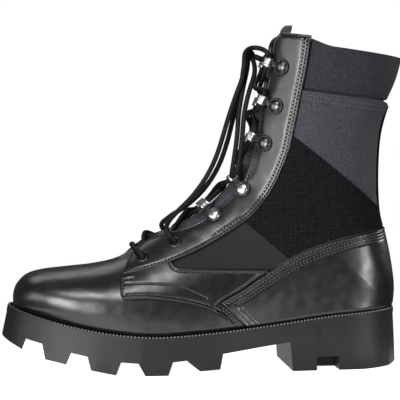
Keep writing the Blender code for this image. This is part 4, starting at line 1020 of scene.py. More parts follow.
def upper_wall():
    rows = wall_rows()
    columns = WALL_COLUMNS
    share = np.linspace(0, 1, columns)
    halves = []
    for side in SIDES.values():
        start = throat_turn(rows, side)[:, None]
        turns = np.concatenate([np.zeros((len(rows), 1)), start + (2 - start) * share], axis=1)
        halves.append(turns[:, ::-1] if side < 0 else turns[:, 1:])
    turns = np.concatenate(halves, axis=1)
    sides = np.concatenate([-np.ones(columns + 1), np.ones(columns)])[None, :]
    climb = ramp(rows[:, None], ROW["collar"], ROW["collar_top"])
    grid_rows = rows[:, None] + COLLAR_RISE * (1 - ramp(turns, *COLLAR_RISE_TURNS)) * climb
    plain = surface(grid_rows, turns, sides)
    lift = wall_lift(grid_rows, plain) * ramp(grid_rows, 0.2, 2.0)
    out = outwards(np.maximum(grid_rows, 0.3), turns, sides)
    outer = plain + out * lift[..., None]
    inner = plain - out * (WALL - np.minimum(lift, 0))[..., None]
    column = np.arange(turns.shape[1] - 1)[None, :]
    gap = (rows[:-1, None] >= ROW["throat"]) & (column >= columns - 1) & (column <= columns)
    middle = plain[:-1, :-1]
    cloth_from = np.interp(middle[..., 0], [m.x for m in CLOTH_START], [m.z for m in CLOTH_START])
    kind = np.where(middle[..., 2] > cloth_from, 1, 0)
    kind = np.where(grid_rows[:-1, :-1] >= HEM_ROW + 0.004, 2, kind)
    mesh = closed_skin("upper_wall", outer, inner, cloth_map(plain), ~gap, kind, 3)
    return new_piece("upper_wall", mesh, [leather, nylon, collar_cloth, lining], ["upper"])


wall = upper_wall()

# %% [markdown]
# ## Leather panels
# The eyestays carry the hooks, the quarters tie them to the vamp, and the counter stiffens the heel.
# They are cut from thicker hide with skived, folded edges, so light catches a bright bead all along
# them. Each is a panel grid with a rolled edge and shallow grooves where the stitches pull it down.

# %% Seams that bound the panels
SEAM_GAP = 0.012
SEAM_LAP = 0.05
BACKSTAY_TURN = 1.87


def eyestay_top(row):
    """Rounding of the eyestay's upper front corner."""
    corner = np.clip((row - ROW["collar_top"] - 0.22 + 0.5) / 0.62, 0, 1)
    return 0.16 * (1 - np.sqrt(1 - corner**2))


def eyestay_low(row, side):
    return np.maximum(throat_turn(row, side) + eyestay_top(row), crossing_turn(row, front_line, 0.0))


def eyestay_high(row, side):
    return np.maximum(crossing_turn(row, eyestay_line, 0.9), eyestay_low(row, side) + 0.02)


def quarter_low(row, side):
    return np.maximum(crossing_turn(row, eyestay_line, 0.0) - SEAM_LAP, crossing_turn(row, front_line, 0.0))


def quarter_high(row, side):
    above_vamp = crossing_turn(row, foot_line, 1.97)
    above_counter = crossing_turn(row, counter_line, 2.0) - SEAM_GAP
    return np.maximum(np.minimum(above_vamp, above_counter), quarter_low(row, side) + 0.02)


def counter_low(row, side):
    return np.minimum(crossing_turn(row, counter_line, 1.9), 1.97)


def strap_low(row, side):
    return crossing_turn(row, eyestay_line, 0.4) - SEAM_LAP


def strap_high(row, side):
    return np.minimum(crossing_turn(row, counter_line, 2.0), BACKSTAY_TURN) - SEAM_GAP


instep = np.array([float(ROW["strap_low"])])
print("eyestay is", np.round(eyestay_high(instep, -1) - eyestay_low(instep, -1), 2), "turns wide")

# %% [markdown]
# ### One panel
# Skiving and folding leave an edge that is round and a little thicker than the hide. The panel's height
# therefore depends on the distance to its nearest edge. Seams and rivets then pull it down, and a window
# lets its grid sink to the cloth.

# %% A panel of hide
LEATHER_HEIGHT = 2.2
PANEL_FOOT = 0.05
WINDOW_FLOOR = 0.22


def leather_panel(
    node, panel, seams, bead=0.3, thickness=LEATHER_HEIGHT, finish=None,
    window=None, dents=None, edge=None,
):
    """A closed panel with grooves along its seams, and cloth let into it where a window is cut."""
    points = panel.points
    edge = np.minimum.reduce(list(panel.gaps.values())) if edge is None else edge
    finishes, kinds = [finish or leather], None
    if window is not None:
        edge = np.minimum(edge, border_gaps(points, surface(*window[0].T)))
        # The window's cloth is the darker nylon copy, as painted shade.
        finishes, kinds = finishes + [nylon_shaded_copy], (window[1][:-1, :-1] & window[1][1:, 1:]).astype(int)
    lift = rolled_edge(edge, thickness, bead) + (dents(points) if dents else 0)
    for seam in seams:
        lift = lift + stitch_groove(points, seam)
    if window is not None:
        lift = np.where(window[1], WINDOW_FLOOR, lift)
    outer = panel_points(panel, np.maximum(lift, PANEL_FOOT + 0.1))
    inner = panel_points(panel, np.full(lift.shape, PANEL_FOOT))
    mesh = closed_skin(node, outer, inner, cloth_map(points), outer_kind=kinds)
    new_piece(f"{node}_panel", mesh, finishes, [node])


def inside(points, corners):
    """Which points lie inside a side-view outline, by counting the edges above them."""
    x, z = points[..., 0], points[..., 2]
    found = np.zeros(x.shape, bool)
    for (x0, z0), (x1, z1) in zip(corners, np.roll(corners, -1, axis=0)):
        if x0 != x1:
            found ^= ((x0 > x) != (x1 > x)) & (z < z0 + (z1 - z0) * (x - x0) / (x1 - x0))
    return found


print("leather stands", LEATHER_HEIGHT, "mm over the last")

# %% [markdown]
# ### Eyestays
# The eyestay is the facing that carries the hooks. Two rows of stitches follow its back edge and one
# its throat. Each hook is riveted hard through the hide, which sinks a little round it and bulges
# between the hooks, so the sheen breaks into soft patches.

# %% Eyestay panels
EYESTAY_HEIGHT = 2.9
EYESTAY_BACK_ROWS = (2.3, 4.6)
EYESTAY_FRONT_ROW, EYESTAY_TOP_ROW = 2.7, 2.7
SECOND_ROW_FROM = ROW["instep"] + 0.5
Hook = namedtuple("Hook", "x z sleeve_x sleeve_z")
HOOKS = [
    Hook(6.1, 120.1, 0.1, 126.0), Hook(27.4, 139.2, 22.6, 147.5), Hook(43.6, 173.7, 35.7, 179.1),
    Hook(51.5, 202.1, 41.5, 207.9), Hook(56.1, 232.0, 45.7, 236.7),
]
DENT_DEPTH, DENT_WIDTH = 1.1, 8.5


def hook_dents(points):
    """How far the hide sinks round the hooks' rivets, in mm."""
    away = [np.hypot(points[..., 0] - hook.x, points[..., 2] - hook.z) for hook in HOOKS]
    return -DENT_DEPTH * sum(np.exp(-((gap / DENT_WIDTH) ** 2)) for gap in away)


seams = {name: [] for name in SIDES}
for name, side in SIDES.items():
    panel = panel_grid(ROW["ball"] + 0.56, ROW["collar_top"] + 0.33, eyestay_low, eyestay_high, [side])
    back, second = (sewn_line(panel, "high", at) for at in EYESTAY_BACK_ROWS)
    rows = [back, second[second[:, 0] > SECOND_ROW_FROM]]
    rows.append(sewn_line(panel, "last", EYESTAY_TOP_ROW))
    leather_panel(f"eyestay_{name}", panel, rows, 0.4, EYESTAY_HEIGHT, dents=hook_dents)
    # The throat's edge is too narrow for a groove, so this row lies on the hide.
    rows.append(sewn_line(panel, "low", EYESTAY_FRONT_ROW))
    seams[name] += [(line, EYESTAY_HEIGHT - LEATHER_HEIGHT) for line in rows]

# %% [markdown]
# ### Quarters
# The quarter ties the eyestay to the vamp. It has a long window of nylon with a round front end, a
# raised bead round the window, and two rows of heavy stitches along its foot that draw together towards
# the heel. The window is made in the same grid: inside its outline the leather sinks to the cloth.

# %% Quarter panels
QUARTER_FOOT_ROW = 3.0
QUARTER_FRONT_ROW = 1.9
WINDOW_ROW = 2.7
UPPER_ROW = [Mark(-65.0, 67.3), Mark(-46.5, 67.5), Mark(-29.7, 66.6), Mark(-18.0, 64.0), Mark(-2.0, 57.0)]
BAR_TACK = [Mark(-65.4, 69.7), Mark(-56.5, 71.0)]
foot_row = shifted(foot_line, QUARTER_FOOT_ROW)
front_row = shifted(front_line, QUARTER_FRONT_ROW)
window_row = shifted(window_line, -WINDOW_ROW)
window_corners = np.concatenate([window_line, [[90, 200], [-23.6, 200]]])
DRAWN_ROWS = [
    foot_row[(foot_row[:, 0] > -65.5) & (foot_row[:, 0] < 0)],
    seam_line(UPPER_ROW),
    front_row[(front_row[:, 1] > 59) & (front_row[:, 1] < 70)],
    window_row[(window_row[:, 1] < 85.5) & (window_row[:, 0] < 50)],
]
for name, side in SIDES.items():
    panel = panel_grid(
        ROW["ball"] + 0.2, ROW["strap_low"] + 0.15, quarter_low, quarter_high, [side], step=0.75
    )
    rows = [drawn_line(line, side) for line in DRAWN_ROWS]
    tack = drawn_line(seam_line(BAR_TACK), side)
    opening = drawn_line(window_line, side), inside(panel.points, window_corners)
    front = border_gaps(panel.points, surface(*drawn_line(front_line, side).T))
    free = np.minimum.reduce([front, panel.gaps["high"]])
    leather_panel(f"quarter_{name}", panel, rows + [tack], bead=0.45, window=opening, edge=free)
    seams[name] += [(line, 0.0) for line in rows]

# %% [markdown]
# ### Heel counter
# The counter wraps the heel from one side to the other. Four close rows of stitches run under its top
# edge, two follow its front edge, and a second pair runs down inside them. One panel goes right round
# the back, so that the heel has no seam.

# %% Counter panel
COUNTER_TOP_ROWS = (1.5, 3.5, 5.7, 7.8)
COUNTER_FRONT_ROWS = (1.5, 3.6)
COUNTER_PAIR = [(Mark(23.5, 48.6), Mark(36.5, 35.6)), (Mark(26.4, 49.2), Mark(39.4, 36.2))]
tip = int(np.argmin(counter_line[:, 0]))
front_edge, top_edge = counter_line[: tip + 1], counter_line[tip:]
counter_rows = [seam_line(marks, pieces=8) for marks in COUNTER_PAIR]
for at in COUNTER_FRONT_ROWS:
    line = shifted(front_edge, -at)
    counter_rows.append(line[line[:, 1] > rim_z(line[:, 0]) + 2.5])
for at in COUNTER_TOP_ROWS:
    line = shifted(top_edge, -at)
    counter_rows.append(line[(line[:, 0] > 6 + 2 * at) & (line[:, 0] < 139)])
both_sides = list(SIDES.values())
counter = panel_grid(ROW["throat"] + 0.75, ROW["ankle"] + 0.2, counter_low, None, both_sides, step=1.1)
counter_seams = [drawn_line(line, side) for line in counter_rows for side in both_sides]
leather_panel("heel_counter", counter, counter_seams)

# %% [markdown]
# ## Straps of webbing
# A heavy web runs from the hooks down to the heel and another climbs the back. They take the pull of
# the lace off the thin cloth. They are thinner than the leather and their edges are only turned in, so
# the same panel grid serves with a lower height and no bead.

# %% Ankle straps and backstay
STRAP_HEIGHT = 1.72
for name, side in SIDES.items():
    strap = panel_grid(ROW["strap_low"], ROW["strap_high"], strap_low, strap_high, [side])
    leather_panel(f"ankle_strap_{name}", strap, [], 0.0, STRAP_HEIGHT, webbing)


def backstay_low(row, side):
    return np.full(np.shape(row), BACKSTAY_TURN)


backstay = panel_grid(ROW["ankle"] + 0.3, HEM_ROW - 0.05, backstay_low, None, both_sides)
leather_panel("backstay", backstay, [], 0.0, STRAP_HEIGHT, webbing)

# %% [markdown]
# ## The padded tongue
# The tongue is two layers of nylon with thin foam between, sewn into the vamp at its foot. It is a grid
# under the throat, thickest in the middle and pinched flat at its edges, and above the collar it leans
# back a little as the real one does.

# %% Tongue
TONGUE_HALF_WIDTH = 25
TONGUE_THICKNESS = 3.0
TONGUE_LEAN = 3.8
TONGUE_BULGE = 3.0
TONGUE_TAPER = 0.25
TONGUE_GAP = 1.2
TONGUE_PINCH, TONGUE_EDGE = 1.1, 1.2


def tongue():
    last = ROW["above"] - 0.25
    rows = np.linspace(ROW["vamp"] + 0.4, last, 120)[:, None]
    spread_y = np.linspace(-1, 1, 41)[None, :]
    lean = np.clip(rows - ROW["collar"], 0, None) / (last - ROW["collar"])
    depth = WALL + TONGUE_GAP + COLLAR_STEP * np.clip(rows - ROW["shaft_low"], 0, 1) + TONGUE_LEAN * lean**2
    bulge = ramp(rows, ROW["throat"], ROW["instep_low"]) * (1 - ramp(rows, ROW["shaft"], ROW["collar"]))
    depth = depth - TONGUE_BULGE * bulge * (1 - ramp(TONGUE_HALF_WIDTH * np.abs(spread_y), 5.0, 14.0))
    half = TONGUE_HALF_WIDTH * (1 - TONGUE_TAPER * ramp(rows, ROW["collar"], last))
    turns = np.maximum(turn_at_gap(rows, half * np.abs(spread_y)), 0.01)
    sides = np.where(spread_y < 0, -1, 1)
    plain = surface(rows, turns, sides)
    out = outwards(rows, turns, sides)
    rim = np.minimum(1 - np.abs(spread_y), (last - rows) * 1.2 + 0.0 * spread_y)
    pinch = np.sqrt(1 - (1 - np.clip(rim / 0.08, 0, 1)) ** 2)
    outer = plain - out * (depth + TONGUE_PINCH * (1 - pinch))[..., None]
    inner = plain - out * (depth + TONGUE_EDGE + (TONGUE_THICKNESS - TONGUE_EDGE) * pinch)[..., None]
    mesh = closed_skin("tongue_pad", outer, inner, cloth_map(plain))
    made = new_piece("tongue_pad", mesh, [nylon], ["tongue"])
    return made


tongue_pad = tongue()

# %% [markdown]
# ## The sole
# The sole is one moulding of black rubber: a wall that flares towards the ground, a thin rim that the
# upper is stuck into, and blocks that grip. As in a mould, its plan is crossed with its side view by
# Booleans. A Bevel then breaks each edge by half a millimetre, because moulded rubber is never sharp
# and those soft edges are what catches the light.

# %% Sole sizes and outlines
Edge = namedtuple("Edge", "x margin flare")
EDGE = [
    Edge(-150, 3.8, 0.22), Edge(-110, 4.4, 0.11), Edge(BALL_X, 5.0, 0.05),
    Edge(40, 4.2, 0.04), Edge(110, 3.0, 0.04), Edge(150, 2.0, 0.05),
]
GROOVE_FLOOR = [
    Key(-160, 31.6), Key(-137.6, 26.5), Key(-98, 15.9), Key(-60, 9.8),
    Key(-28, 10.0), Key(10, 15.2), Key(63.5, 22.4),
]
Lug = namedtuple("Lug", "front_root front_foot back_foot back_root front_z back_z")
LUGS = [
    Lug(-125.6, -123.4, -107.8, -104.0, 12.0, 8.6), Lug(-91.5, -89.3, -70.7, -67.0, 4.4, 0.8),
    Lug(-54.0, -48.9, -31.5, -28.0, 0.0, 0.0), Lug(-17.7, -7.5, 8.0, 10.3, 2.7, 3.6),
]
TOE_LUG = Lug(-162.0, -162.0, -140.6, -137.6, 29.0, 18.2)
HEEL = Lug(63.0, 64.8, 122.0, 160.0, 0.0, 6.0)
HEEL_BACK_CORNER = (143, 1)
HEEL_NOTCH = (83.8, 101.3)
HEEL_NOTCH_DEPTH, HEEL_NOTCH_HEIGHT = 20, 10.5
PLAN_FOOT, PLAN_TOP = -2, 62
RIM_BAND_HEIGHT, RIM_BAND_PROUD, RIM_BAND_DEPTH = 3.6, 0.4, 9
SLOT_SHARE, SLOT_DEPTH = 0.5, 1.8
CHANNEL_WIDTH, CHANNEL_SWING, CHANNEL_LAND = 10, 6, 0.4
OUTLINE_POINTS = 144


print("blocks under the forefoot", len(LUGS) + 1)

# %% [markdown]
# ### Outlines
# The plan is the last's outline moved outwards by a margin that grows towards the ground. The side view
# is one closed line: along the rim, then back under heel, waist, blocks and toe.

# %% Outlines of the sole


def margin(x):
    return smooth([e.x for e in EDGE], [e.margin for e in EDGE], x)


def flare(x):
    return smooth([e.x for e in EDGE], [e.flare for e in EDGE], x)


def groove_z(x):
    return along(GROOVE_FLOOR, x)


def sole_loop(offset_at, height_at):
    """The last's outline moved outwards by offset_at(x), at the heights height_at(x)."""
    angle = np.arange(OUTLINE_POINTS) * 2 * math.pi / OUTLINE_POINTS
    x = TOE_TIP_X + (HEEL_END_X - TOE_TIP_X) * (1 + np.cos(angle)) / 2
    points = np.stack([x, middle_y(x) + np.where(angle < math.pi, -1, 1) * last_half_width(x)], -1)
    run = np.roll(points, -1, axis=0) - np.roll(points, 1, axis=0)
    normal = np.stack([-run[:, 1], run[:, 0]], -1) / np.linalg.norm(run, axis=1)[:, None]
    moved = points + normal * np.asarray(offset_at(x))[..., None]
    return np.concatenate([moved, (x * 0 + height_at(x))[:, None]], axis=1)


def loft(name, loops, ring=False):
    """A closed solid through loops of equal count, capped at its ends or joined last to first."""
    bm = bmesh.new()
    rings = [[bm.verts.new(Vector(point) * MM) for point in loop] for loop in loops]
    for ring_a, ring_b in zip(rings, rings[1:] + rings[:1] if ring else rings[1:]):
        for n in range(len(ring_a)):
            bm.faces.new((ring_a[n - 1], ring_a[n], ring_b[n], ring_b[n - 1]))
    if not ring:
        bm.faces.new(rings[0])
        bm.faces.new(rings[-1])
    bmesh.ops.recalc_face_normals(bm, faces=bm.faces)
    mesh = bpy.data.meshes.new(name)
    bm.to_mesh(mesh)
    bm.free()
    return mesh


def groove_spot(x):
    return x, float(groove_z(x))


def sole_side_outline():
    """The sole in side view: rim on top, then heel, waist, blocks and toe below."""
    outline = [(x, float(rim_z(x))) for x in range(-164, 166, 3)]
    outline += [(HEEL.back_root, HEEL.back_z), HEEL_BACK_CORNER, (HEEL.back_foot, 0)]
    outline += [(HEEL.front_foot, 0)] + [groove_spot(x) for x in (HEEL.front_root, 46, 28)]
    for lug in LUGS[::-1] + [TOE_LUG]:
        outline += [groove_spot(lug.back_root), (lug.back_foot, lug.back_z), (lug.front_foot, lug.front_z)]
        outline += [groove_spot(lug.front_root)] if lug in LUGS else []
    return outline


print("outline points in side view", len(sole_side_outline()))

# %% [markdown]
# ### Moulding it
# The flared plan is cut to the side view, the rim's band is added, and the tread's channel, the slot for
# the upper and the heel's notches are taken out. Each tool is a loft through a few loops. They act as
# modifiers, in order, and the result is kept as one plain mesh.

# %% Tools for the sole


def cut(target, tool, operation):
    modifier = target.modifiers.new(operation, "BOOLEAN")
    modifier.operation = operation
    modifier.object = tool


def box_loops(low, high):
    corners = ((low[1], low[2]), (high[1], low[2]), (high[1], high[2]), (low[1], high[2]))
    return [[(x, y, z) for y, z in corners] for x in (low[0], high[0])]


def channel_loops():
    """Zigzag channel between the two rows of blocks."""
    stations = [TOE_LUG.back_root - 6] + [lug.front_root for lug in LUGS] + [LUGS[-1].back_root + 2]
    loops = []
    for number, x in enumerate(stations):
        middle = middle_y(x) + (CHANNEL_SWING if number % 2 else -CHANNEL_SWING)
        roof = float(groove_z(x)) - CHANNEL_LAND
        half = CHANNEL_WIDTH / 2
        corners = ((-half, PLAN_FOOT), (half, PLAN_FOOT), (half, roof), (-half, roof))
        loops.append([(x, middle + y, z) for y, z in corners])
    return loops


print("stations of the tread's channel", len(channel_loops()))

# %% Make the sole
EDGE_BREAK, EDGE_BREAK_ANGLE = 0.55, 32


def sole():
    plan = [
        sole_loop(lambda x: margin(x) + flare(x) * (rim_z(x) - z), lambda x: z)
        for z in (PLAN_FOOT, PLAN_TOP)
    ]
    body = placed("sole_body", loft("sole_body", plan))
    outline = sole_side_outline()
    side_view = [[(x, y, z) for x, z in outline] for y in (-BALL_WIDTH, BALL_WIDTH)]
    tools = [(loft("side", side_view), "INTERSECT")]
    sizes = ((RIM_BAND_PROUD, RIM_BAND_HEIGHT), (RIM_BAND_PROUD, 0), (-RIM_BAND_DEPTH, 0))
    sizes += ((-RIM_BAND_DEPTH, RIM_BAND_HEIGHT),)
    band = [
        sole_loop(lambda x: margin(x) + out + flare(x) * down, lambda x: rim_z(x) - down)
        for out, down in sizes
    ]
    tools += [(loft("band", band, ring=True), "UNION"), (loft("channel", channel_loops()), "DIFFERENCE")]
    slot = ((SLOT_SHARE, 1.0), (SLOT_SHARE, -SLOT_DEPTH), (-0.15, -SLOT_DEPTH), (-0.15, 1.0))
    slot = [sole_loop(lambda x: margin(x) * out, lambda x: rim_z(x) + up) for out, up in slot]
    tools.append((loft("slot", slot, ring=True), "DIFFERENCE"))
    inner = HEEL_SEAT_WIDTH / 2 + float(margin(HEEL_NOTCH[0])) - HEEL_NOTCH_DEPTH
    for side in SIDES.values():
        reach = sorted((side * inner, side * HEEL_SEAT_WIDTH))
        low, high = (HEEL_NOTCH[0], reach[0], PLAN_FOOT), (HEEL_NOTCH[1], reach[1], HEEL_NOTCH_HEIGHT)
        tools.append((loft("notch", box_loops(low, high)), "DIFFERENCE"))
    cutters = []
    for mesh, operation in tools:
        cutters.append(placed(mesh.name, mesh))
        cut(body, cutters[-1], operation)
    soften = body.modifiers.new("soft_edges", "BEVEL")
    soften.width = EDGE_BREAK * MM
    soften.segments = 2
    soften.limit_method = "ANGLE"
    soften.angle_limit = math.radians(EDGE_BREAK_ANGLE)
    shaped = bpy.data.meshes.new_from_object(body.evaluated_get(bpy.context.evaluated_depsgraph_get()))
    for used in cutters + [body]:
        bpy.data.objects.remove(used)
    shaped.materials.clear()
    return new_piece("rubber_sole", shaped, [rubber], ["outsole"], sharp=40)


rubber_sole = sole()

# %% [markdown]
# ## Insole
# Inside lies a flat board covered with lining cloth. It is a thin closed slab that follows the rim's
# height, with its edge rolled over, and it shows only from above.

# %% Insole
INSOLE_GAP = 2.2
INSOLE_RINGS = ((0.0, 0.3), (0.0, 3.2), (1.2, 4.3), (8.0, 4.3), (16.0, 4.3))


def insole():
    rings = [
        sole_loop(lambda x: -(WALL + INSOLE_GAP + inset) + 0 * x, lambda x: rim_z(x) + height)
        for inset, height in INSOLE_RINGS
    ]
    mesh = loft("insole_board", rings[::-1])
    mesh.uv_layers.new(name=CLOTH_MAP)
    for corner, spot in zip(mesh.loops, mesh.uv_layers[CLOTH_MAP].data):
        point = mesh.vertices[corner.vertex_index].co
        spot.uv = (point.x / MM, point.y / MM)
    return new_piece("insole_board", mesh, [lining], ["insole"])


insole_board = insole()

# %% [markdown]
# ## Eyelets and speed hooks
# The two lowest pairs of holes have rolled eyelets. Above them five hooks a side are riveted on: a round
# base with a polished dome, a short neck, and a folded loop that the lace snaps into. Each is turned or
# swept from a small profile, once, and then placed on the eyestay by the same seat as in the CAD.

# %% Seats on the eyestay
EYELET_PLACES = [Mark(-48.7, 86.9), Mark(-23.8, 98.2)]
SEAT_LIFT = 2.52
HOOK_FACE = 2.4


def seat_at(place, side, lift, proud, aim):
    """Axes of a fitting whose face is seen at a side-view place: X along aim, Z outwards."""
    row, turn = row_and_turn(place.x, place.z)
    for _ in range(3):
        lean = skin(row, turn, -1, lift + proud) - surface(row, turn, -1)
        row, turn = row_and_turn(place.x - lean[0], place.z - lean[2])
    turn += float(throat_turn(row, side) - throat_turn(row, -1))
    origin = Vector(skin(row, turn, side, lift))
    out = Vector(outwards(row, turn, side))
    sideways = -(aim[0] * out.x + aim[1] * out.z) / out.y
    inwards = Vector((aim[0], sideways, aim[1])).normalized()
    rotation = Matrix((inwards, out.cross(inwards), out)).transposed().to_4x4()
    return Matrix.Translation(origin) @ rotation


hook_seats = {
    name: [seat_at(h, side, SEAT_LIFT, HOOK_FACE, (h.sleeve_x - h.x, h.sleeve_z - h.z)) for h in HOOKS]
    for name, side in SIDES.items()
}
eyelet_seats = {
    name: [seat_at(place, side, 0.0, SEAT_LIFT, (-1.0, 0.0)) for place in EYELET_PLACES]
    for name, side in SIDES.items()
}
print("top hook at", [round(v, 1) for v in hook_seats["lateral"][-1].translation])

# %% [markdown]
# ### Eyelets
# An eyelet is a short barrel whose lip is rolled over on the outside. A press draws it from a disc of
# brass. Here two small closed profiles, the lip and the funnel, are swept round the axis, so that each
# can have its own finish.

# %% Turned and swept fittings


def swept(profile, frames):
    """Points and quads of a closed profile swept through frames of (centre, x axis, y axis), as a ring."""
    points = np.array([[c + x * u + y * v for u, v in profile] for c, x, y in frames])
    rows, columns = points.shape[:2]
    a = np.arange(rows * columns).reshape(rows, columns)
    b, c = np.roll(a, -1, 0), np.roll(a, -1, 1)
    quads = np.stack([a, c, np.roll(b, -1, 1), b], -1).reshape(-1, 4)
    return points.reshape(-1, 3), quads


def turned(profile, steps=32):
    """Points and quads of a closed profile of (radius, height) turned round the Z axis."""
    angles = np.arange(steps) * 2 * math.pi / steps
    up = np.array([0, 0, 1.0])
    frames = [(np.zeros(3), np.array([math.cos(a), math.sin(a), 0]), up) for a in angles]
    return swept(profile, frames)


def arc(centre, radius, start, end, count):
    angles = np.radians(np.linspace(start, end, count))
    return [(centre[0] + radius * math.cos(a), centre[1] + radius * math.sin(a)) for a in angles]


def joined_mesh(name, shapes, seat):
    """One mesh of several (points, faces, material number) shapes, moved to a seat, in mm."""
    points, faces, kinds = [], [], []
    for shape_points, shape_faces, kind in shapes:
        faces += (np.asarray(shape_faces) + len(points)).tolist()
        points += [seat @ Vector(point) * MM for point in shape_points]
        kinds += [kind] * len(shape_faces)
    mesh = bpy.data.meshes.new(name)
    mesh.from_pydata(points, [], faces)
    mesh.polygons.foreach_set("material_index", kinds)
    return outward_faces(mesh, merge=0.002)


EYELET_BORE, EYELET_BARREL = 2.9, 3.3
eyelet_lip = arc((4.3, 3.0), 0.55, -40, 320, 12)
eyelet_funnel = [
    (EYELET_BARREL, SEAT_LIFT - 0.3), (4.2, 3.1), (3.5, 3.0), (EYELET_BORE, 1.4), (EYELET_BORE, -2.8),
    (EYELET_BARREL, -2.8),
]
eyelet_shapes = [(*turned(eyelet_lip), 0), (*turned(eyelet_funnel), 1)]
for name in SIDES:
    for number, seat in enumerate(eyelet_seats[name], start=1):
        label = f"eyelet_{name}_{number}"
        mesh = joined_mesh(label, eyelet_shapes, seat)
        # The eyelet's lip takes the darker nickel copy, as painted shade; its funnel is black enamel.
        new_piece(f"{label}_ring", mesh, [shaded_nickel, enamel_and_shade], [label])

# %% [markdown]
# ### Hooks
# A speed hook is stamped from sheet. The loop that takes the lace is a folded band with two pressed
# grooves, and the dome is the rivet's head. Five shapes are made once, and copied to every seat in the
# cell after, with bright nickel domes on the lower hooks and a darker nickel copy above, as painted shade.

# %% Shapes of a speed hook
HOOK_REACH = 12.4
LOOP_SIZE = (6.4, 7.0, 5.4)
LOOP_MIDDLE = 2.1
LOOP_SHEET = 1.0
DOME_RADIUS, DOME_HEIGHT = 5.0, 2.3
PLATE_RADIUS = 6.0
BRIGHT_DOMES = 2
ROUND_STEPS = 48


def rounded_box(half_x, half_z, radius, count=5):
    """Points round a rectangle with round corners, in the XZ plane."""
    corners = ((1, 1, 0), (-1, 1, 90), (-1, -1, 180), (1, -1, 270))
    return [
        spot
        for sx, sz, start in corners
        for spot in arc((sx * (half_x - radius), sz * (half_z - radius)), radius, start, start + 90, count)
    ]


def hook_loop():
    """Folded sheet loop for the lace, pressed with two grooves."""
    half = LOOP_SIZE[1] / 2
    outside = [(-half, 0.1), (-half + 0.2, 0.0)]
    for groove in (-1.15, 1.15):
        outside += [(groove - 0.45, 0.0), (groove - 0.15, 0.3), (groove + 0.15, 0.3), (groove + 0.45, 0.0)]
    outside += [(half - 0.2, 0.0), (half, 0.1)]
    profile = outside + [(half, LOOP_SHEET), (-half, LOOP_SHEET)]
    frames = []
    outline = np.array(rounded_box(LOOP_SIZE[0] / 2, LOOP_SIZE[2] / 2, 1.5))
    run = np.roll(outline, -1, 0) - np.roll(outline, 1, 0)
    for (x, z), (dx, dz) in zip(outline, run / np.linalg.norm(run, axis=1)[:, None]):
        centre = np.array([HOOK_REACH + x, 0, LOOP_MIDDLE + z])
        frames.append((centre, np.array([0, 1.0, 0]), np.array([-dz, 0, dx])))
    return swept(profile, frames)


def hook_dome():
    """Polished dome of the rivet."""
    angles = np.linspace(0.02, math.pi / 2, 14)
    dome = [(DOME_RADIUS * math.sin(a), 1.3 + DOME_HEIGHT * math.cos(a)) for a in angles]
    return turned(dome + [(DOME_RADIUS, 0.6), (0.08, 0.6)], ROUND_STEPS)


def hook_base():
    """Round base plate under the dome, sunk a little into the hide, and its rolled rim."""
    edge = [(5.7, 1.0), (PLATE_RADIUS, 0.7), (PLATE_RADIUS, -1.0)]
    profiles = [(0.09, 1.0)] + edge + [(0.09, -1.0)], arc((5.9, 0.75), 0.5, 0, 330, 12)
    return [turned(profile, ROUND_STEPS) for profile in profiles]


def hook_neck():
    """Waisted strip of sheet from the base to the loop."""
    stations = [(2.5, 2.9, 0.2), (5.4, 2.5, 0.5), (7.6, 2.1, 0.6), (10.0, 2.7, 0.2), (12.0, 3.1, -0.1)]
    profile = [(-1, 0), (-1, 0.8), (-0.9, 1.0), (0.9, 1.0), (1, 0.8), (1, 0)]
    points = np.array([[(x, half * u, lift + v) for u, v in profile] for x, half, lift in stations])
    rows, columns = points.shape[:2]
    a = np.arange(rows * columns).reshape(rows, columns)
    b = np.roll(a, -1, 1)
    quads = np.stack([a[:-1], b[:-1], b[1:], a[1:]], -1).reshape(-1, 4).tolist()
    ends = [a[n, corners].tolist() for n in (0, -1) for corners in ([0, 1, 4, 5], [1, 2, 3, 4])]
    return points.reshape(-1, 3), quads + ends


print("corners of a loop", len(hook_loop()[0]))

# %% Speed hooks
hook_shapes = [(*hook_loop(), 0), (*hook_dome(), 1)]
# The base and the neck take the black enamel; on the neck, which is the same sheet as the loop, that black is
# painted shade.
hook_shapes += [(*shape, 2) for shape in hook_base() + [hook_neck()]]
for name in SIDES:
    for number, seat in enumerate(hook_seats[name], start=1):
        label = f"speed_hook_{name}_{number}"
        mesh = joined_mesh(label, hook_shapes, seat)
        # Domes above the lowest two take the darker nickel copy, as painted shade.
        dome = nickel if number <= BRIGHT_DOMES else shaded_nickel
        new_piece(f"{label}_plated", mesh, [nickel, dome, enamel_and_shade], [label], 40)

# %% [markdown]
# ## The lace
# One round braided lace is threaded through the eyelets and then zigzags from hook to hook up to a knot
# between the top pair. Its slack makes two strands that rise from the second eyelets in front of the
# tongue, one hanging loop and a short end. A curve with a bevel would do for the shape, but a mesh tube
# can also carry the map of length and girth that the braid is drawn on.

# %% Tubes
LACE_RADIUS = 1.9


def points_along(at, lengths, grid):
    """Points of a row of points at the given lengths along it."""
    return np.stack([np.interp(at, lengths, column) for column in grid.T], -1)


def smooth_route(points, step=1.3):
    """Points a short step apart on a smooth curve through chosen points, in mm."""
    points = np.asarray(points, float)
    keys = run_lengths(points)
    fine = np.linspace(0, keys[-1], int(keys[-1] / 0.3) + 2)
    curve = np.stack([smooth(keys, column, fine) for column in points.T], -1)
    lengths = run_lengths(curve)
    even = np.linspace(0, lengths[-1], int(lengths[-1] / step) + 2)
    return points_along(even, lengths, curve)


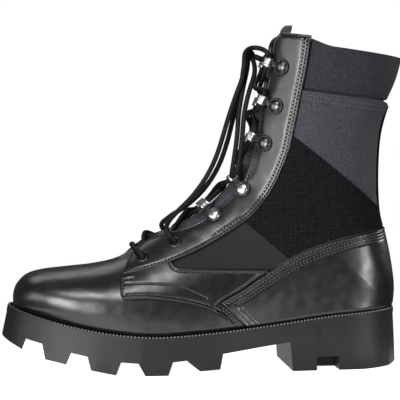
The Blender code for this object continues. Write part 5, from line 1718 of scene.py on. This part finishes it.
def lace_tube(route, radius=LACE_RADIUS, sides=12):
    """Points, faces and corner maps of a tube with round ends along a route."""
    run = np.gradient(route, axis=0)
    run /= np.linalg.norm(run, axis=1)[:, None]
    across = np.cross(run[0], [0.3, 0.8, 0.5])
    lengths = run_lengths(route)
    rings, marks = [], []
    ends = [(0.05, -0.98), (0.6, -0.7), (0.92, -0.3)]
    stations = [(0, share, shift) for share, shift in ends]
    stations += [(n, 1.0, 0.0) for n in range(len(route))]
    stations += [(len(route) - 1, share, -shift) for share, shift in ends[::-1]]
    angles = np.arange(sides + 1) * 2 * math.pi / sides
    for n, share, shift in stations:
        across = across - run[n] * (across @ run[n])
        across /= np.linalg.norm(across)
        third = np.cross(run[n], across)
        centre = route[n] + run[n] * shift * radius
        girth = np.outer(np.cos(angles), across) + np.outer(np.sin(angles), third)
        rings.append(centre + radius * share * girth)
        marks.append(np.stack([np.full(sides + 1, lengths[n] + shift), angles * radius], -1))
    return np.array(rings), np.array(marks)


def tube_mesh(name, routes, radius=LACE_RADIUS):
    """One mesh of closed tubes along routes."""
    points, faces, maps = [], [], []
    for route in routes:
        rings, marks = lace_tube(np.asarray(route), radius)
        rows, columns = rings.shape[0], rings.shape[1] - 1
        base = len(points)
        points += rings[:, :-1].reshape(-1, 3).tolist()
        for row in range(rows - 1):
            for c in range(columns):
                d = (c + 1) % columns
                corner = [(row, c), (row, d), (row + 1, d), (row + 1, c)]
                faces.append([base + r * columns + k for r, k in corner])
                maps += [marks[r, k] for r, k in ((row, c), (row, c + 1), (row + 1, c + 1), (row + 1, c))]
        for row in (0, rows - 1):
            faces.append([base + row * columns + k for k in range(columns)])
            maps += [marks[row, k] for k in range(columns)]
    mesh = bpy.data.meshes.new(name)
    mesh.from_pydata((np.array(points) * MM).tolist(), [], faces)
    mesh.uv_layers.new(name=CLOTH_MAP).data.foreach_set("uv", np.array(maps).ravel())
    return outward_faces(mesh)


print("lace thickness, mm", 2 * LACE_RADIUS)

# %% [markdown]
# ### The bow
# Two strands, a loop and a short end hang free of the hooks. Each is a row of chosen places, in mm, that
# a smooth curve will join.

# %% Places of the bow
Place = namedtuple("Place", "x y z")
STRAND_LATERAL = [
    Place(-24.0, -27.3, 99.0), Place(-26.6, -29.6, 102.2), Place(-30.6, -27.6, 106.6),
    Place(-29.6, -22.0, 112.0), Place(-22.0, -17.4, 120.4), Place(-10.0, -15.0, 132.0),
    Place(1.6, -15.0, 148.0), Place(8.8, -15.0, 162.6), Place(13.2, -15.5, 176.0),
    Place(18.2, -16.0, 192.9), Place(24.2, -16.0, 210.6), Place(29.6, -16.0, 226.0),
    Place(30.6, -15.2, 236.0), Place(31.2, -13.0, 242.2), Place(34.2, -9.0, 246.0),
    Place(38.9, -7.0, 247.5),
]
LACE_END = [
    Place(43.8, -9.2, 246.7), Place(46.8, -13.4, 245.1), Place(48.0, -17.8, 243.3),
    Place(48.2, -22.0, 241.6),
]
STRAND_MEDIAL = [
    Place(-24.0, 26.8, 99.0), Place(-26.6, 29.0, 102.2), Place(-30.4, 26.0, 107.0),
    Place(-25.6, 15.6, 114.4), Place(-12.0, 4.0, 124.6), Place(2.4, -4.6, 140.0),
    Place(11.8, -7.6, 156.0), Place(18.2, -8.4, 174.0), Place(22.6, -8.8, 191.4),
    Place(26.4, -9.0, 206.0), Place(29.6, -8.0, 220.0), Place(31.6, -4.6, 232.0),
    Place(33.4, -1.6, 238.0),
]
LOOP = [
    Place(38.4, -5.4, 238.6), Place(39.4, -9.6, 234.0), Place(38.6, -15.0, 226.4),
    Place(34.6, -20.0, 216.0), Place(30.2, -22.2, 199.0), Place(27.6, -25.2, 176.0),
    Place(25.4, -28.0, 162.0), Place(24.2, -28.2, 155.3), Place(22.2, -25.9, 149.7),
    Place(20.8, -20.3, 147.4), Place(21.0, -14.7, 149.7), Place(22.2, -12.4, 155.3),
    Place(23.2, -12.6, 162.0), Place(25.0, -14.0, 176.0), Place(26.8, -14.6, 199.0),
    Place(30.6, -11.8, 218.0), Place(34.2, -6.6, 232.0), Place(35.2, -3.4, 238.2),
]


print("places on the strands and loop", [len(row) for row in (STRAND_LATERAL, STRAND_MEDIAL, LOOP)])

# %% [markdown]
# ### Free cords
# The stretches are made as tubes along their paths. A cord can't turn a sharp corner, so each route is
# eased a few times. The knot is a trefoil of the same lace.

# %% Free cords of the bow
EASING_PASSES = 8
KNOT = Place(36.5, 0.0, 242.5)
KNOT_SPREAD, KNOT_DEPTH, KNOT_LACE_RADIUS = 0.95, 2.6, 1.75


def eased(route):
    """A route with its tight corners rounded off, as a cord takes them, and its ends kept."""
    for _ in range(EASING_PASSES):
        route[1:-1] = (route[:-2] + 2 * route[1:-1] + route[2:]) / 4
    return route


def free_cord(name, places, replaced):
    """A hanging stretch of lace through chosen places."""
    route = eased(smooth_route(places))
    made = new_piece(name, tube_mesh(name, [route]), [cord], replaced)
    return made


def knot():
    """An overhand knot: a trefoil of lace, a little wider than it is high."""
    t = np.linspace(0, 2 * math.pi, 60)[:-1]
    ring = (2 + np.cos(3 * t)) * KNOT_SPREAD
    shape = np.stack([ring * np.cos(2 * t), np.sin(3 * t) * KNOT_DEPTH, ring * np.sin(2 * t)], -1)
    route = smooth_route(np.concatenate([shape, shape[:1]]) + np.array(KNOT), 1.0)
    mesh = tube_mesh("lace_bow_knot", [route], KNOT_LACE_RADIUS)
    return new_piece("lace_bow_knot", mesh, [cord], ["lace_knot"])


bow_knot = knot()
free_cord(
    "lace_outer_strand", STRAND_LATERAL + LACE_END,
    ["lace_strand_lateral", "lace_end"],
)
free_cord("lace_inner_strand", STRAND_MEDIAL, ["lace_strand_medial"])
free_cord("lace_hanging_loop", LOOP, ["lace_loop"])

# %% [markdown]
# ### The rows
# Each half of the lace goes from hook to hook and crosses the other over the tongue. The two halves lie
# at different heights in the middle, so that one rests on the other. Below the hooks the lace crosses
# under the eyestays, and a short bar joins the first pair of eyelets.

# %% Lace through eyelets and hooks
CROSSING_LIFTS = {"lateral": 4.9, "medial": 1.2}
RUN_END = [Place(45.1, 4.3, 239.0), Place(41.2, 2.4, 240.6)]


def loop_spot(name, number, along_loop, height=0.0):
    """Point in a hook's loop, moved along the lace's way up through it."""
    seat = hook_seats[name][number]
    way = seat.to_3x3() @ Vector((0, 1, 0))
    way = way if way.z > 0 else -way
    return seat @ Vector((HOOK_REACH, 0, LOOP_MIDDLE + height)) + way * along_loop


def tongue_spot(row, across, lift):
    """Point over the tongue, across from the middle of the throat."""
    turn = max(0.01, float(turn_at_gap(row, abs(across))))
    return Vector(skin(row, turn, -1 if across < 0 else 1, lift))


def lace_run(first, lift):
    """One half of the lace: from under the second eyelet, from hook to hook, up to the knot."""
    names = list(SIDES) if first == "lateral" else list(SIDES)[::-1]
    start_row = row_and_turn(*EYELET_PLACES[1])[0]
    hook_rows = [row_and_turn(h.sleeve_x, h.sleeve_z)[0] for h in HOOKS]
    side = SIDES[names[0]]
    points = [tongue_spot(start_row + 0.1, side * 15.0, -3.2), tongue_spot(start_row + 0.4, side * 9.0, -1.6)]
    rows = [start_row + 0.5] + hook_rows
    for number in range(len(HOOKS)):
        name = names[(number + 1) % 2]
        between = (rows[number] + rows[number + 1]) / 2
        points.append(tongue_spot(between, 0.0, lift))
        points += [loop_spot(name, number, -4.2), loop_spot(name, number, 0.0), loop_spot(name, number, 4.2)]
    end = SIDES[names[len(HOOKS) % 2]]
    points += [Vector((place.x, end * place.y, place.z)) for place in RUN_END]
    return smooth_route(points)


def eyelet_bar():
    """The lace's middle, across the vamp between the first pair of eyelets."""
    points = []
    for name, side in SIDES.items():
        seat = eyelet_seats[name][0]
        hole = [seat @ Vector((0, 0, height)) for height in (-2.4, 1.5, 4.6)]
        row = row_and_turn(*EYELET_PLACES[0])[0]
        over = [tongue_spot(row - 0.05, side * 16.0, 4.6), tongue_spot(row + 0.02, side * 7.0, 3.0)]
        points += hole + over if side < 0 else over[::-1] + hole[::-1]
    return smooth_route(points)


def lower_cross(first, lift):
    """A crossing under the eyestays between the first and second eyelets."""
    rows = [row_and_turn(*place)[0] for place in EYELET_PLACES]
    side = SIDES[first]
    points = [
        tongue_spot(rows[0] + 0.15, side * 12.0, -3.0), tongue_spot(rows[0] + 0.3, side * 7.0, -1.2),
        tongue_spot(sum(rows) / 2, 0.0, lift), tongue_spot(rows[1] - 0.3, -side * 9.0, -1.2),
        tongue_spot(rows[1] - 0.15, -side * 15.0, -3.0),
    ]
    return smooth_route(points)


runs = [lace_run(name, lift) for name, lift in CROSSING_LIFTS.items()]
runs += [lower_cross(name, lift) for name, lift in CROSSING_LIFTS.items()] + [eyelet_bar()]
new_piece("lace_rows", tube_mesh("lace_rows", runs), [cord], ["lace_crossings"])

# %% [markdown]
# ## Stitches
# Every panel is held by rows of lockstitch in heavy bonded thread. Seen close, a stitch is a short bar
# that dips into its needle holes at both ends. A thousand of them would be slow as objects, so each row
# is one array: a small bar is copied along the sewn line and turned to follow it.

# %% One row of stitches
STITCH_LENGTH = 0.6
THREAD_RADIUS = 0.55
HALF_STEP = 0.6
HALF_BAR = [(1.0, 0.35, -0.5), (0.8, 0.9, -0.1), (0.35, 1.0, 0.25)]


def stitch_bars(points, normals, pitch, radius=THREAD_RADIUS, cover=STITCH_LENGTH):
    """Corner points and quads of thread bars along a line of points, one for each pitch in mm."""
    lengths = run_lengths(points)
    count = int(lengths[-1] / pitch)
    at = (np.arange(count) + 0.5) * pitch
    centre, up = (points_along(at, lengths, grid) for grid in (points, normals))
    ahead, behind = (points_along(at + step, lengths, points) for step in (HALF_STEP, -HALF_STEP))
    along_row = ahead - behind
    along_row /= np.maximum(np.linalg.norm(along_row, axis=1), 1e-9)[:, None]
    up /= np.linalg.norm(up, axis=1)[:, None]
    side = np.cross(up, along_row)
    half = pitch * cover / 2
    rings = [(-x, r, z) for x, r, z in HALF_BAR] + HALF_BAR[::-1]
    angles = np.radians(np.arange(6) * 60 + 30)
    corners = np.array([
        (x * half, radius * r * math.cos(a), radius * (z + r * math.sin(a)))
        for x, r, z in rings for a in angles
    ])
    bars = (
        centre[:, None] + along_row[:, None] * corners[None, :, :1]
        + side[:, None] * corners[None, :, 1:2] + up[:, None] * corners[None, :, 2:]
    )
    a = np.arange(36).reshape(6, 6)
    b = np.roll(a, -1, 1)
    quads = np.stack([a[:-1], b[:-1], b[1:], a[1:]], -1).reshape(-1, 4)
    ends = np.array([[0, 1, 2, 3], [0, 3, 4, 5], [30, 31, 32, 33], [30, 33, 34, 35]])
    faces = np.concatenate([quads, ends])
    faces = (faces[None] + np.arange(count)[:, None, None] * 36).reshape(-1, 4)
    return bars.reshape(-1, 3), faces


def stitch_piece(name, groups, finish=None):
    """One joined mesh of many stitch rows."""
    points, faces, start = [], [], 0
    for bars, quads in groups:
        points.append(bars)
        faces.append(quads + start)
        start += len(bars)
    mesh = bpy.data.meshes.new(name)
    mesh.from_pydata((np.concatenate(points) * MM).tolist(), [], np.concatenate(faces).tolist())
    return new_piece(name, outward_faces(mesh), [finish or thread])


def sewn(line, lift, pitch):
    """Stitches along a line of rows and turns on the last."""
    row, turn, side = line.T
    return stitch_bars(skin(row, turn, side, np.full(len(row), lift)), outwards(row, turn, side), pitch)


print("thread is", 2 * THREAD_RADIUS, "mm thick")

# %% [markdown]
# ### Rows on the panels
# The eyestays are sewn with black thread. On the quarters and the counter the thread is drawn grey, as a
# painted highlight for the light that its stitches catch, so those rows show as pale dots.

# %% Seams of the panels
SEAM_PITCH, COUNTER_PITCH, TACK_PITCH = 2.8, 2.8, 1.3
SEAM_LIFT = LEATHER_HEIGHT - 0.3
for name, side in SIDES.items():
    facing = [sewn(seam, SEAM_LIFT + lift, SEAM_PITCH) for seam, lift in seams[name] if lift]
    stitch_piece(f"eyestay_stitches_{name}", facing)
    groups = [sewn(seam, SEAM_LIFT, SEAM_PITCH) for seam, lift in seams[name] if not lift]
    groups.append(sewn(drawn_line(seam_line(BAR_TACK), side), SEAM_LIFT, TACK_PITCH))
    stitch_piece(f"quarter_stitches_{name}", groups, finish=thread_painted_sheen)
counter_bars = [sewn(seam, SEAM_LIFT, COUNTER_PITCH) for seam in counter_seams]
stitch_piece("counter_stitches", counter_bars, finish=thread_painted_sheen)

# %% [markdown]
# ### Hem and rim
# The cloth's hem under the collar is sewn with thin spun thread, in two rows. Round the sole's rim runs
# a row of heavy waxed thread that lies on the ledge beside the upper; its pale grey is painted highlight.

# %% Hem and rim stitches
HEM_SEAMS = (3.2, 6.6)
HEM_PITCH, HEM_THREAD_RADIUS = 2.6, 0.36
RIM_PITCH, RIM_THREAD_RADIUS, RIM_STITCH_LENGTH = 2.7, 0.7, 0.62
RIM_ROW_SHARE = 0.74


def hem_line(side, below):
    """Points of the shaft at a distance below the collar's edge, from the eyestay to the back."""
    turns = np.linspace(0.45, 2.0, 120)
    rows = np.linspace(ROW["shaft"] - 0.5, HEM_ROW, 160)[:, None]
    points = surface(rows, turns[None, :], side)
    fall = run_lengths(np.swapaxes(points, 0, 1)[:, ::-1])[:, ::-1]
    found = [np.interp(-below, -fall[n], rows[:, 0]) for n in range(len(turns))]
    seen = turns > eyestay_high(np.array(found), side) + 0.04
    return np.array(found)[seen], turns[seen], np.full(seen.sum(), float(side))


groups = []
for side in SIDES.values():
    for below in HEM_SEAMS:
        row, turn, side_of = hem_line(side, below)
        points = skin(row, turn, side_of, np.full(len(row), HEM_LIFT + 0.05))
        groups.append(stitch_bars(points, outwards(row, turn, side_of), HEM_PITCH, HEM_THREAD_RADIUS))
stitch_piece("hem_stitches", groups, hem_thread)
ledge = sole_loop(lambda x: RIM_ROW_SHARE * margin(x), lambda x: rim_z(x) + 0.3)
ledge = np.concatenate([ledge, ledge[:1]])
straight_up = np.tile([0.0, 0.0, 1.0], (len(ledge), 1))
rim_bars = stitch_bars(ledge, straight_up, RIM_PITCH, RIM_THREAD_RADIUS, RIM_STITCH_LENGTH)
stitch_piece("rim_stitches", [rim_bars], rim_thread_painted_highlight)

# %% [markdown]
# ## Floor
# The boot stands on a round top of opal acrylic that glows, as a light table does, so no hard shadow
# falls under the sole. Black leather shows little but reflections, so the top is only just larger than
# the boot: a wide one would light every face that looks down.

# %% Floor
TABLE_RADIUS = 200
TABLE_GLOW = 1.0
CLOUD_MM = 40


def table_top():
    """A thin round slab of white acrylic under the sole."""
    rim = [(TABLE_RADIUS - 2, -0.02), (TABLE_RADIUS, -1), (TABLE_RADIUS, -4)]
    points, faces = turned([(0.001, -4), (0.001, -0.02)] + rim, 96)
    mesh = joined_mesh("table_top", [(points, faces, 0)], Matrix())
    glow = {"Emission Color": linear("#ffffff"), "Emission Strength": TABLE_GLOW, "Specular IOR Level": 0.1}
    acrylic, tree, shader = new_finish("opal_acrylic_sheet", "#f6f6f6", 0.9, sockets=glow)
    place = add_node(tree, "ShaderNodeTexCoord").outputs["Object"]
    cloud = add_node(tree, "ShaderNodeTexNoise", {"Scale": per_mm(CLOUD_MM), "Detail": 2}, {"Vector": place})
    tint = add_node(
        tree, "ShaderNodeMix", {"data_type": "RGBA", 6: linear("#f4f4f4"), 7: linear("#f8f8f8")},
        {0: cloud.outputs["Fac"]},
    )
    tree.links.new(tint.outputs[2], shader.inputs["Base Color"])
    mesh.materials.append(acrylic)
    mesh.shade_smooth()
    mesh.set_sharp_from_angle(angle=math.radians(40))
    placed("table_top", mesh)


table_top()
print("table top radius, mm", TABLE_RADIUS)

# %% [markdown]
# ## Light
# The wall behind is white to look at, but the room is dim, and six soft boxes draw the sheen. One behind
# overhead lies along the top of the toe. A tall one at the left front and one at the left light the
# toe's side and the eyestay, and a small one above the camera lights the eyestay's foot. Two on the
# right edge the counter and the heel.

# %% Lights
Softbox = namedtuple("Softbox", "name place aim size power")
SOFTBOXES = [
    Softbox("back_overhead_box", (-0.20, 0.95, 1.15), (-0.05, 0.0, 0.1), (1.2, 0.5), 4),
    Softbox("left_front_box", (-0.72, -1.12, 0.19), (-0.05, 0.0, 0.1), (0.5, 0.73), 24),
    Softbox("left_side_box", (-1.28, -0.5, 0.32), (-0.05, 0.0, 0.1), (0.7, 0.6), 7),
    Softbox("front_top_box", (-0.24, -0.74, 1.02), (-0.02, 0.0, 0.1), (0.45, 0.3), 9),
    Softbox("right_low_box", (0.98, -0.96, -0.09), (0.1, 0.0, 0.08), (0.4, 0.26), 8),
    Softbox("right_back_box", (1.2, 0.5, 0.5), (0.1, 0.0, 0.1), (0.4, 0.5), 5),
]
ROOM_LIGHT = 0.05


def softbox(box):
    """A rectangular lamp that looks at its aim."""
    lamp = bpy.data.lights.new(box.name, "AREA")
    lamp.shape = "RECTANGLE"
    lamp.size, lamp.size_y = box.size
    lamp.energy = box.power
    made = placed(box.name, lamp)
    made.location = box.place
    made.rotation_euler = (Vector(box.place) - Vector(box.aim)).to_track_quat("Z", "Y").to_euler()


def studio():
    """A white wall to look at, and only a little even light from the room."""
    world = bpy.data.worlds.new("studio")
    world.use_nodes = True
    tree = world.node_tree
    wall_white = add_node(tree, "ShaderNodeBackground", {"Color": linear("#ffffff"), "Strength": 1.0})
    dim_room = add_node(tree, "ShaderNodeBackground", {"Color": linear("#ffffff"), "Strength": ROOM_LIGHT})
    seen = add_node(tree, "ShaderNodeLightPath")
    mixed = add_node(
        tree, "ShaderNodeMixShader", {},
        {0: seen.outputs["Is Camera Ray"], 1: dim_room.outputs[0], 2: wall_white.outputs[0]},
    )
    tree.links.new(mixed.outputs[0], tree.nodes["World Output"].inputs["Surface"])
    bpy.context.scene.world = world


for box in SOFTBOXES:
    softbox(box)
studio()
bpy.context.scene.view_settings.view_transform = "Standard"
print("soft boxes", len(SOFTBOXES))
